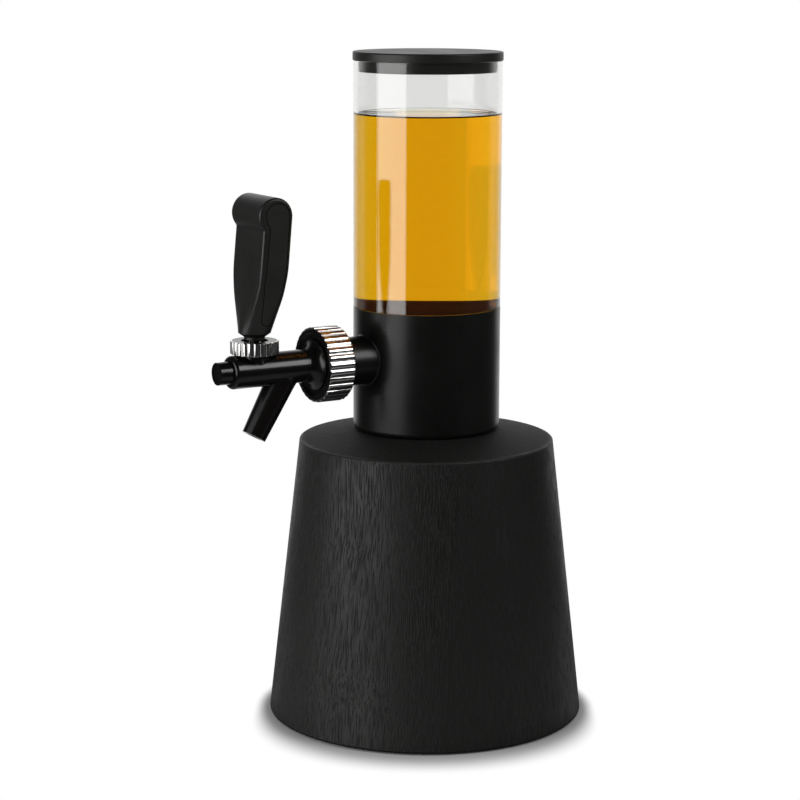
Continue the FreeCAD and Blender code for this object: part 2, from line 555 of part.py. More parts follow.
def make_tap_body():
    """Mould the tap's body: flange, flare and barrel, with the slanted spout and the lever's post."""
    body = new_body("tap_body")
    front = f"({BARREL_FRONT} - barrel_front_round)"
    flare_rise = "(neck_radius - barrel_radius)"
    flare_radius = f"(({flare_rise} ^ 2 + flare_length ^ 2) / 2 / {flare_rise})"
    revolve(body, "barrel", [
        ("0", TAP_FACE), (FLANGE_RADIUS, TAP_FACE), (FLANGE_RADIUS, FLANGE_FRONT),
        ("neck_radius", FLANGE_FRONT), ("neck_radius", NECK_FRONT),
        ("barrel_radius", FLARE_FRONT, f"barrel_radius + {flare_radius}", FLARE_FRONT, RIGHT),
        ("barrel_radius", front),
        ("barrel_radius - barrel_front_round", BARREL_FRONT,
         "barrel_radius - barrel_front_round", front, LEFT),
        ("0", BARREL_FRONT)])

    def on_spout(along, across):
        """Place a point by its distance along the spout's axis and away from it."""
        return (f"({across}) * sin(spout_lean) - ({along}) * cos(spout_lean)",
                f"{SPOUT_ROOT} + ({along}) * sin(spout_lean) + ({across}) * cos(spout_lean)")

    spout_axis = (on_spout("0", "0"), on_spout("spout_length", "0"))
    revolve(body, "spout", [
        on_spout("0", "0"), on_spout("0", "spout_root_radius"),
        on_spout("spout_length", "spout_tip_radius"), on_spout("spout_length", "0")],
        plane="YZ_Plane", axis=spout_axis)
    post_axis = (("0", LEVER_AXIS), ("post_height", LEVER_AXIS))
    revolve(body, "post", [
        ("0", LEVER_AXIS), ("0", f"{LEVER_AXIS} + post_radius"),
        ("post_height", f"{LEVER_AXIS} + post_radius"), ("post_height", LEVER_AXIS)],
        plane="YZ_Plane", axis=post_axis)
    revolve(body, "waterway", [
        ("0", f"{TAP_FACE} - fit_gap"), ("inlet_bore", f"{TAP_FACE} - fit_gap"),
        ("inlet_bore", VALVE_SEAT), ("gallery_bore", VALVE_SEAT), ("gallery_bore", GUIDE_START),
        (GUIDE_BORE, GUIDE_START), (GUIDE_BORE, f"{BARREL_FRONT} + fit_gap"),
        ("0", f"{BARREL_FRONT} + fit_gap")], kind="Groove")
    past_tip = "(spout_length + fit_gap)"
    revolve(body, "spout_bore_cut", [
        on_spout("0", "0"), on_spout("0", "port_bore"), on_spout("port_length", "port_bore"),
        on_spout("port_length", "spout_bore"), on_spout(past_tip, "spout_bore"),
        on_spout(past_tip, "0")], kind="Groove", plane="YZ_Plane", axis=spout_axis)
    past_post = "(post_height + fit_gap)"
    revolve(body, "post_bore_cut", [
        ("0", LEVER_AXIS), ("0", f"{LEVER_AXIS} + post_bore"),
        (SEAT_FLOOR, f"{LEVER_AXIS} + post_bore"), (SEAT_FLOOR, f"{LEVER_AXIS} + seat_pocket_radius"),
        (past_post, f"{LEVER_AXIS} + seat_pocket_radius"), (past_post, LEVER_AXIS)],
        kind="Groove", plane="YZ_Plane", axis=post_axis)
    return lay_along_tap(body)


def make_nut():
    """Make the coupling nut's black core: threaded behind, lipped over the tap's flange in front."""
    body = new_body("coupling_nut_core")
    lip_rear = f"({FLANGE_FRONT} + nut_face_gap)"
    ring_inner = f"({NUT_CORE} - nut_ring_width)"
    revolve(body, "nut_turn", [
        (NUT_THREAD_BORE, NUT_REAR), (NUT_CORE, NUT_REAR), (NUT_CORE, NUT_FRONT),
        (ring_inner, NUT_FRONT), (ring_inner, NUT_RECESS), (NUT_LIP_BORE, NUT_RECESS),
        (NUT_LIP_BORE, lip_rear), (NUT_THREAD_BORE, lip_rear)])
    return lay_along_tap(body)


def flute_band(name, inner, outer, low, high, bevels, flute_radius, ribs):
    """Make a chromed band with flutes cut along it at an even pitch."""
    body = new_body(name)
    low_bevel, high_bevel = bevels
    revolve(body, name + "_turn", [
        (inner, low), (f"{outer} - {low_bevel}", low), (outer, f"{low} + {low_bevel}"),
        (outer, f"{high} - {high_bevel}"), (f"{outer} - {high_bevel}", high), (inner, high)])
    sketch = new_sketch(body, name + "_flute_sketch", "XY_Plane", f"{low} - fit_gap")
    draw_circle(sketch, (f"{outer}", "0"), flute_radius)
    cut = pad(body, name + "_flute", sketch, f"{high} - {low} + 2 * fit_gap", kind="Pocket", flip=True)
    pattern = body.newObject("PartDesign::PolarPattern", name + "_flutes")
    pattern.Originals = [cut]
    pattern.Axis = (sketch, ["N_Axis"])
    pattern.Angle = FULL_TURN
    pattern.setExpression("Occurrences", bind(ribs))
    body.Tip = pattern
    doc.recompute()
    return body


def make_nut_band():
    """Make the chromed fluted band round the coupling nut."""
    body = flute_band("coupling_nut_sleeve", f"({NUT_CORE} + fit_gap)", "nut_radius",
                      f"({NUT_REAR} + band_inset)", f"({NUT_FRONT} - band_inset)",
                      ("nut_rear_bevel", "nut_front_bevel"), "nut_flute_radius", "nut_ribs")
    return lay_along_tap(body)


def make_plunger():
    """Turn the plunger: a rod at the rear, two ring grooves, the lever's slot and the front stub."""
    body = new_body("plunger_shaft")
    groove_floor = "(plunger_radius + running_gap - ring_squeeze - 2 * ring_section - fit_gap)"
    grooves = []
    for reach in (REAR_RING, FRONT_RING):
        low, high = f"({reach} - ring_section - fit_gap)", f"({reach} + ring_section + fit_gap)"
        grooves += [("plunger_radius", low), (groove_floor, low), (groove_floor, high),
                    ("plunger_radius", high)]
    screw_hole = "(screw_radius + thread_gap)"
    hole_end = f"({SEAL_FRONT} + screw_length)"
    dish_floor = f"({STUB_FACE} - stub_dish_depth)"
    revolve(body, "shaft", [
        (screw_hole, SEAL_FRONT), ("rod_radius", SEAL_FRONT), ("rod_radius", PLUNGER_START),
        ("plunger_radius", PLUNGER_START), *grooves, ("plunger_radius", BARREL_FRONT),
        ("stub_face_radius", STUB_FACE), ("stub_dish_radius", STUB_FACE),
        ("stub_dish_radius", dish_floor), ("0", dish_floor), ("0", hole_end), (screw_hole, hole_end)])
    # the slot opens upwards and towards the front, where the tilted lever crosses the plunger's skin
    half, floor = "(tip_radius + tip_gap)", "-(tip_radius + 2 * tip_gap)"
    step, mouth = "tip_radius - tip_gap", "(lever_neck_radius + plunger_radius * sin(lever_tilt) + tip_gap)"
    sketch = new_sketch(body, "slot_outline", "YZ_Plane")
    draw_loop(sketch, [
        (floor, f"{LEVER_AXIS} - {half}"), (floor, f"{LEVER_AXIS} + {half}"),
        (step, f"{LEVER_AXIS} + {half}"), ("plunger_radius", f"{LEVER_AXIS} + {mouth}"),
        ("plunger_radius + tip_gap", f"{LEVER_AXIS} + {mouth}"),
        ("plunger_radius + tip_gap", f"{LEVER_AXIS} - {half}")])
    pad(body, "slot", sketch, f"2 * {half}", kind="Pocket", side="Symmetric")
    return lay_along_tap(body)


def make_seal_screw():
    """Make the screw that holds the valve seal on the plunger's rod."""
    body = new_body("seal_screw")
    head, tip = f"({SEAL_REAR} - screw_head_height)", f"({SEAL_FRONT} + screw_length - fit_gap)"
    revolve(body, "screw_turn", [("0", head), ("screw_head_radius", head),
                                 ("screw_head_radius", SEAL_REAR), ("screw_radius", SEAL_REAR),
                                 ("screw_radius", tip), ("0", tip)])
    return lay_along_tap(body)


def make_o_rings():
    """Make the plunger's two O-rings as one group of separate solids."""
    rings = []
    for name, reach in (("rear_o_ring", REAR_RING), ("front_o_ring", FRONT_RING)):
        torus = doc.addObject("Part::Torus", name)
        torus.setExpression("Radius1", bind("plunger_radius + running_gap - ring_squeeze - ring_section"))
        torus.setExpression("Radius2", bind("ring_section"))
        torus.setExpression("Placement.Base.z", bind(reach))
        rings.append(torus)
    group = doc.addObject("Part::Compound", "plunger_o_rings")
    group.Links = rings
    group.Label = "plunger_o_rings"
    return lay_along_tap(group)


# ---------------------------------------------------------------- lever and handle

def make_ball_seat():
    """Make the nylon seat under the lever's ball, with a hollow that follows the ball."""
    body = new_body("ball_seat")
    low, high = f"({SEAT_FLOOR} + fit_gap)", "post_height"
    outer = "(seat_pocket_radius - fit_gap)"
    edge = f"({PIVOT} - sqrt({BALL_CUP} ^ 2 - seat_lower_bore ^ 2))"
    top = f"sqrt({BALL_CUP} ^ 2 - pivot_rise ^ 2)"
    revolve(body, "seat_turn", [
        ("seat_lower_bore", low), (outer, low), (outer, high), (top, high),
        ("seat_lower_bore", edge, "0", PIVOT, RIGHT)])
    return stand_at_lever(body)


def make_bonnet():
    """Make the bonnet's black core: threaded on the post, with a lip that follows the ball."""
    body = new_body("bonnet_core")
    low_cup = f"sqrt({BALL_CUP} ^ 2 - ({LIP_FLOOR} - {PIVOT}) ^ 2)"
    high_cup = f"sqrt({BALL_CUP} ^ 2 - ({LIP_TOP} - {PIVOT}) ^ 2)"
    revolve(body, "bonnet_turn", [
        (BONNET_BORE, BONNET_BASE), (BONNET_CORE, BONNET_BASE),
        (BONNET_CORE, BONNET_TOP), ("bonnet_opening", BONNET_TOP),
        ("bonnet_opening", LIP_TOP), (high_cup, LIP_TOP),
        (low_cup, LIP_FLOOR, "0", PIVOT, RIGHT), (BONNET_BORE, LIP_FLOOR)])
    return stand_at_lever(body)


def make_bonnet_band():
    """Make the chromed fluted band round the bonnet."""
    body = flute_band("bonnet_sleeve", f"({BONNET_CORE} + fit_gap)", "bonnet_radius",
                      BONNET_BASE, BONNET_TOP, ("bonnet_bevel", "bonnet_bevel"),
                      "bonnet_flute_radius", "bonnet_ribs")
    return stand_at_lever(body)


def make_lever_stem():
    """Turn the lever's stem: tip ball, neck, pivot ball and the stud for the handle."""
    body = new_body("lever_stem")
    tip_join = "sqrt(tip_radius ^ 2 - lever_neck_radius ^ 2)"
    ball_low = f"({PIVOT} - sqrt(ball_radius ^ 2 - lever_neck_radius ^ 2))"
    ball_high = f"({PIVOT} + sqrt(ball_radius ^ 2 - stud_radius ^ 2))"
    revolve(body, "stem_turn", [
        ("0", "-tip_radius"), ("lever_neck_radius", tip_join, "0", "0", LEFT),
        ("lever_neck_radius", ball_low), ("stud_radius", ball_high, "0", PIVOT, LEFT),
        ("stud_radius", STUD_TOP), ("0", STUD_TOP)])
    return stand_at_lever(body)


def round_section(sketch, radius):
    """Draw the handle's round foot as eight arcs that match the full section's sides and corners."""
    draw_loop(sketch, [(f"{radius} * cos({angle})", f"{radius} * sin({angle})", "0", "0", LEFT)
                       for angle in FOOT_ARCS])


def tangent_join(foot, centre, radius):
    """Find where a line from a foot runs into the back of a circle above it, as a pair of formulas."""
    back, rise = f"({foot[0]} - {centre[0]})", f"({centre[1]} - {foot[1]})"
    square = f"({back} ^ 2 + {rise} ^ 2)"
    length = f"sqrt({square} - {radius} ^ 2)"
    return (f"({foot[0]} + {length} * ({radius} * {rise} - {length} * {back}) / {square})",
            f"({foot[1]} + {length} * ({length} * {rise} + {radius} * {back}) / {square})")


def draw_head(foot, front, centre, radius, crook):
    """List the steps up the handle's back, round its head and through the crook to its front."""
    reach = f"({radius} + {crook})"
    hollow = (f"({centre[0]} - {reach} * cos(crook_angle))", f"({centre[1]} - {reach} * sin(crook_angle))")
    chin = (f"({centre[0]} - {radius} * cos(crook_angle))", f"({centre[1]} - {radius} * sin(crook_angle))")
    return [tangent_join(foot, centre, radius), (*chin, *centre, LEFT),
            (*tangent_join(front, hollow, crook), *hollow, RIGHT)]


def make_handle_form(name, inset):
    """Model the handle's outer form, drawn in from its sides by an inset."""
    body = new_body(name)
    half_width = f"(handle_width / 2 - {inset})"
    front, back = ("-handle_front", FLARE_TOP), ("handle_back", FLARE_TOP)
    side = new_sketch(body, name + "_side", "YZ_Plane")
    draw_loop(side, [front, back, *draw_head(back, front, ("head_offset", HEAD_CENTRE),
                                             "head_radius", "crook_radius")])
    pad(body, name + "_grip", side, f"2 * {half_width}", side="Symmetric")
    flat, low = value(half_width), value(FLARE_TOP)

    def on_outline(edge):
        ends = [vertex.Point for vertex in edge.Vertexes]
        return (all(abs(abs(point.x) - flat) < SAME_PLACE for point in ends)
                and abs(ends[0].x - ends[-1].x) < SAME_PLACE
                and not all(abs(point.z - low) < SAME_PLACE for point in ends))

    fillet(body, name + "_round", "handle_round", on_outline)
    lower_face = [f"Face{index}" for index, face in enumerate(body.Tip.Shape.Faces, 1)
                  if all(abs(vertex.Z - low) < SAME_PLACE for vertex in face.Vertexes)]
    foot = new_sketch(body, name + "_foot_section", "XY_Plane", HANDLE_BODY_BASE)
    round_section(foot, f"(handle_foot_radius - {inset})")
    loft = body.newObject("PartDesign::AdditiveLoft", name + "_flare")
    loft.Profile = (body.getObject(name + "_round"), lower_face)
    loft.Sections = [foot]
    loft.Ruled = True
    doc.recompute()
    return body


def panel_outline(sketch, offset):
    """Draw a side panel's outline, drawn in from its recess by an offset."""
    radius = f"(panel_head_radius - {offset})"
    front = (f"(panel_front_margin + {offset} - handle_front)", FLARE_TOP)
    back = (f"(handle_back - panel_back_margin - {offset})", FLARE_TOP)
    head = ("(head_offset + panel_head_shift)", HEAD_CENTRE)
    foot_radius = f"(panel_foot_radius - {offset})"
    foot_centre = f"({PIVOT} + panel_foot + panel_foot_radius)"
    draw_loop(sketch, [
        (f"panel_foot_offset - {foot_radius}", foot_centre),
        (f"panel_foot_offset + {foot_radius}", foot_centre, "panel_foot_offset", foot_centre, LEFT),
        back, *draw_head(back, front, head, radius, f"(panel_crook_radius + {offset})"), front])


def make_panel_prism(name, offset):
    """Extrude a panel's outline through the handle's whole width."""
    body = new_body(name)
    sketch = new_sketch(body, name + "_outline", "YZ_Plane")
    panel_outline(sketch, offset)
    pad(body, name + "_pad", sketch, "2 * handle_width", side="Symmetric")
    return body


def boolean(kind, name, first, second):
    """Join two shapes by a Part boolean."""
    feature = doc.addObject("Part::" + kind, name)
    feature.Base = first
    feature.Tool = second
    feature.Label = name
    doc.recompute()
    return feature


def make_handle():
    """Make the grip with its two recesses, the two side panels and the bored foot."""
    form = make_handle_form("handle_form", "0")
    recess_floor = make_handle_form("recess_floor_form", "panel_depth")
    panel_floor = make_handle_form("panel_floor_form", "(panel_depth - panel_seat_gap)")
    recess = boolean("Cut", "recess_cutter", make_panel_prism("recess_prism", "0"), recess_floor)
    grip = boolean("Cut", "recessed_grip", form, recess)
    foot = new_body("handle_foot_form")
    bore, top = "(grip_insert_radius + fit_gap)", f"({STUD_TOP} + 2 * fit_gap)"
    revolve(foot, "foot_turn", [
        ("0", NECK_FOOT), ("handle_neck_radius", NECK_FOOT),
        ("handle_neck_radius", HANDLE_FOOT), ("handle_foot_radius", HANDLE_BODY_BASE),
        ("0", HANDLE_BODY_BASE)])
    drill = new_body("handle_drill")
    revolve(drill, "drill_turn", [
        ("0", f"{NECK_FOOT} - fit_gap"), ("stud_radius + bolt_hole_gap", f"{NECK_FOOT} - fit_gap"),
        ("stud_radius + bolt_hole_gap", INSERT_BASE), (bore, INSERT_BASE),
        (bore, top), ("0", top)])
    whole = boolean("Fuse", "footed_grip", grip, foot)
    drilled = boolean("Cut", "handle_grip", whole, drill)
    stand_at_lever(drilled)
    blank = boolean("Cut", "panel_blank", make_panel_prism("panel_prism", "panel_groove"), panel_floor)
    pieces = [drilled]
    for name, side in (("handle_panel_right", 1), ("handle_panel_left", -1)):
        half = doc.addObject("Part::Box", name + "_side")
        for length in ("Length", "Width"):
            half.setExpression(length, bind("2 * handle_width"))
        half.setExpression("Height", bind(f"2 * {HEAD_CENTRE}"))
        half.setExpression("Placement.Base.x", bind("0" if side > 0 else "-2 * handle_width"))
        half.setExpression("Placement.Base.y", bind("-handle_width"))
        sheet_part = boolean("Common", name + "_blank", blank, half)
        pieces.append(stand_at_lever(boolean("Common", name, form, sheet_part)))
    return pieces


def make_grip_insert():
    """Make the brass insert that the lever's stud is screwed into."""
    body = new_body("handle_insert")
    bore, blind = "(stud_radius + thread_gap)", f"({STUD_TOP} + fit_gap)"
    revolve(body, "grip_insert_turn", [
        (bore, INSERT_BASE), ("grip_insert_radius", INSERT_BASE),
        ("grip_insert_radius", blind), (bore, blind)])
    return stand_at_lever(body)


# ---------------------------------------------------------------- checks and files

def write_parts(parts):
    """Check every object and every shape, then write one STEP file for each sub-part."""
    doc.recompute()
    failed = [item.Name for item in doc.Objects if {"Invalid", "Error"} & set(item.State)]
    if failed:
        raise RuntimeError("failed objects: " + ", ".join(failed))
    for part in parts:
        if part.Shape.isNull() or not part.Shape.isValid() or not part.Shape.Solids:
            raise RuntimeError("bad shape: " + part.Label)
    os.makedirs("parts", exist_ok=True)
    for part in parts:
        part.Shape.exportStep(os.path.join("parts", part.Label + ".step"))
        print(f"{part.Label}: {len(part.Shape.Solids)} solid(s), {part.Shape.Volume:.1f} mm3")


doc = FreeCAD.newDocument("beer_tower")
sheet = doc.addObject("Spreadsheet::Sheet", "Sizes")
write_sizes()
write_parts([
    make_block(),
    make_pad(),
    make_bolt(),
    ring("bolt_washer", "washer_radius", HOLE_RADIUS, HEAD_SEAT, COUNTERBORE_TOP),
    make_insert(),
    make_socket(),
    ring("tube_gasket", SPIGOT_RADIUS, f"({TUBE_BORE} - gasket_overlap)", REBATE_FLOOR, TUBE_FOOT),
    make_tube(),
    make_beer(),
    make_lid(),
    make_tap_body(),
    lay_along_tap(ring("inlet_washer", INLET_WASHER, "boss_bore", BOSS_FACE, TAP_FACE)),
    make_nut(),
    make_nut_band(),
    make_plunger(),
    lay_along_tap(ring("plunger_seal", "seal_radius", "(screw_radius + fit_gap)",
                       SEAL_REAR, SEAL_FRONT)),
    make_seal_screw(),
    make_o_rings(),
    make_ball_seat(),
    stand_at_lever(ring("bonnet_washer", "(post_radius - fit_gap)", "(ball_radius + washer_ball_gap)",
                        "post_height", "post_height + bonnet_washer_thickness")),
    make_bonnet(),
    make_bonnet_band(),
    make_lever_stem(),
    *make_handle(),
    make_grip_insert(),
])
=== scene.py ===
"""The looks of a tabletop beer tower: a clear tube in a black socket on a stained wooden block, with a
lever tap, a slanted spout and a loose lid.

All lengths are in millimetres, in the frame of the CAD model, and become metres where a mesh is made.
The tap's turned pieces are drawn along their own +Z, which is the distance from the tower's axis, and the
lever's pieces have their heights counted from the lever's pivot.
"""

import json
import logging
import math
from dataclasses import dataclass
from enum import Enum
from typing import Iterable, Optional, Sequence, Union

import bmesh
import bpy
from mathutils import Matrix, Vector


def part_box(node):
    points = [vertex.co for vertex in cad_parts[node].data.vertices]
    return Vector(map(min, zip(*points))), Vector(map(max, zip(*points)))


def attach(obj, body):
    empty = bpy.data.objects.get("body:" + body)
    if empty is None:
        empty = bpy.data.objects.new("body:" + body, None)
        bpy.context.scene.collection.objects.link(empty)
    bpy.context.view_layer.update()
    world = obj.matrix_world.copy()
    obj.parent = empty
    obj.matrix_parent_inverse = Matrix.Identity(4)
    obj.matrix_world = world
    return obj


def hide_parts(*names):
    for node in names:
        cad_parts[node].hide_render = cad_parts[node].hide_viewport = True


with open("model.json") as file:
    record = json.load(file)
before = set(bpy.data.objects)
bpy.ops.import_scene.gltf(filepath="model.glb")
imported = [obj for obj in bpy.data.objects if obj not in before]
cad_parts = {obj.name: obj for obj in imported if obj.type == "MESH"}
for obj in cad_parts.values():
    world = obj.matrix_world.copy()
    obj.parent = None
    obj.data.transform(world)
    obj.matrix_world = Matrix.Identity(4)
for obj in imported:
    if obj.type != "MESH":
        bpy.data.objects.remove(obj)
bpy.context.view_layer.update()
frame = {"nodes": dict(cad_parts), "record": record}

log = logging.getLogger("beer_tower")

MM = 0.001
FINE, MEDIUM = 256, 128  # facets round a turned piece
ON_AXIS = 1e-6  # a point closer to the axis than this lies on it
TUBE_WALL = 3.0
UP = Vector((0, 0, 1))
BREAK, FILLET = 0.2, 0.3  # radii of the small edges and inner corners that hardly show
DOUBLE, SLIVER = 2e-6, 1e-7  # in metres: corners this close are one, and edges this short go
SEAM = 0.002  # corners this close are joined where two ribs meet

Node, Socket, Tree, Mesh = bpy.types.Node, bpy.types.NodeSocket, bpy.types.NodeTree, bpy.types.Mesh
Corner = tuple[float, float, float]
Point = tuple[float, float]
Colour = tuple[float, float, float, float]


class Body(Enum):
    """Which body a piece rides on."""

    TOWER = "tower"
    LID = "lid"
    LEVER = "lever"
    PLUNGER = "plunger"
    NUT = "coupling_nut"
    BONNET = "bonnet"


# ---- colours and nodes

def linear(code: str) -> Colour:
    """Turn an sRGB hex code into linear light.

    Args:
        code: The colour as "#rrggbb".

    Returns:
        The colour as Blender's sockets take it.
    """
    shares = [int(code[start:start + 2], 16) / 255 for start in (1, 3, 5)]
    red, green, blue = [share / 12.92 if share <= 0.04045 else ((share + 0.055) / 1.055) ** 2.4
                        for share in shares]
    return red, green, blue, 1.0


def plug(tree: Tree, node: Node, inputs: dict) -> None:
    """Set inputs of a node.

    Args:
        tree: The node's tree.
        node: The node.
        inputs: Values, output sockets or nodes by input name or number. A node stands for its first output
            that is in use.
    """
    for key, given in inputs.items():
        if isinstance(given, Node):
            given = next(output for output in given.outputs if output.enabled)
        if isinstance(given, Socket):
            tree.links.new(given, node.inputs[key])
        else:
            node.inputs[key].default_value = given


def add_node(tree: Tree, kind: str, inputs: Optional[dict] = None, **settings: object) -> Node:
    """Add one node to a tree, with its settings, values and links.

    Args:
        tree: The tree that gets the node.
        kind: Blender's name of the node's type.
        inputs: What plug() takes.
        settings: Properties of the node itself.

    Returns:
        The new node.
    """
    node = tree.nodes.new(kind)
    for name, setting in settings.items():
        setattr(node, name, setting)
    plug(tree, node, inputs or {})
    return node


def clear_tree(owner: Union[bpy.types.Material, bpy.types.World]) -> Tree:
    """Give a material or a world an empty node tree, and return it."""
    owner.use_nodes = True
    owner.node_tree.nodes.clear()
    return owner.node_tree


def show(name: str, data: bpy.types.ID) -> bpy.types.Object:
    """Make an object of a mesh, a lamp or a camera, link it to the scene, and return it."""
    thing = bpy.data.objects.new(name, data)
    bpy.context.scene.collection.objects.link(thing)
    return thing


# ---- finishes

MIXED: dict[str, bpy.types.Material] = {}  # each finish's material, once it is made
NOISE_LOW, NOISE_HIGH = 0.3, 0.7  # nearly all of a noise's values lie between these


@dataclass(frozen=True)
class Finish:
    """A surface finish that becomes one procedural material."""

    name: str
    colour: str
    roughness: float

    def shade(self, tree: Tree, surface: Node) -> None:
        """Add the finish's own detail to the tree.

        Args:
            tree: The material's tree.
            surface: Its Principled BSDF.
        """

    def build(self) -> bpy.types.Material:
        """Make the material, once.

        Returns:
            The material.
        """
        if self.name in MIXED:
            return MIXED[self.name]
        material = MIXED[self.name] = bpy.data.materials.new(self.name)
        tree = clear_tree(material)
        surface = add_node(tree, "ShaderNodeBsdfPrincipled", {
            "Base Color": linear(self.colour), "Roughness": self.roughness})
        add_node(tree, "ShaderNodeOutputMaterial", {"Surface": surface}, name="Output")
        self.shade(tree, surface)
        return material


def mottle(tree: Tree, size: float, detail: float, roughness: float = 0.5,
           stretch: Corner = (1.0, 1.0, 1.0)) -> Node:
    """Make noise that keeps its size on the piece.

    Args:
        tree: The material's tree.
        size: The length of the noise's unit, in millimetres.
        detail: The noise's detail.
        roughness: The noise's roughness.
        stretch: How many times finer the noise is along each axis.

    Returns:
        The noise.
    """
    where = add_node(tree, "ShaderNodeTexCoord")
    scaled = add_node(tree, "ShaderNodeMapping", {
        "Vector": where.outputs["Object"], "Scale": tuple(share / (size * MM) for share in stretch)})
    return add_node(tree, "ShaderNodeTexNoise", {
        "Vector": scaled, "Scale": 1.0, "Detail": detail, "Roughness": roughness})


@dataclass(frozen=True)
class MouldedPlastic(Finish):
    """Injection-moulded plastic: an even colour, a faint spark-eroded grain and slow changes of sheen."""

    grain: float = 0.35
    depth: float = 0.012
    sheen_change: float = 0.04
    patch: float = 24.0
    tint_change: float = 0.15

    def shade(self, tree: Tree, surface: Node) -> None:
        """Add grain, slow changes of sheen and a trace of uneven colour."""
        fine = mottle(tree, self.grain, 2.0)
        broad = mottle(tree, self.patch, 3.0, 0.6)
        sheen = add_node(tree, "ShaderNodeMapRange", {
            "Value": broad, "From Min": NOISE_LOW, "From Max": NOISE_HIGH,
            "To Min": self.roughness - self.sheen_change, "To Max": self.roughness + self.sheen_change})
        base = Vector(linear(self.colour)[:3])
        dark, light = base * (1 - self.tint_change), base * (1 + self.tint_change)
        tint = add_node(tree, "ShaderNodeMix", {
            0: broad, 6: (*dark, 1.0), 7: (*light, 1.0)}, data_type="RGBA")
        bump = add_node(tree, "ShaderNodeBump", {"Height": fine, "Distance": self.depth * MM})
        plug(tree, surface, {"Base Color": tint, "Roughness": sheen, "Normal": bump})


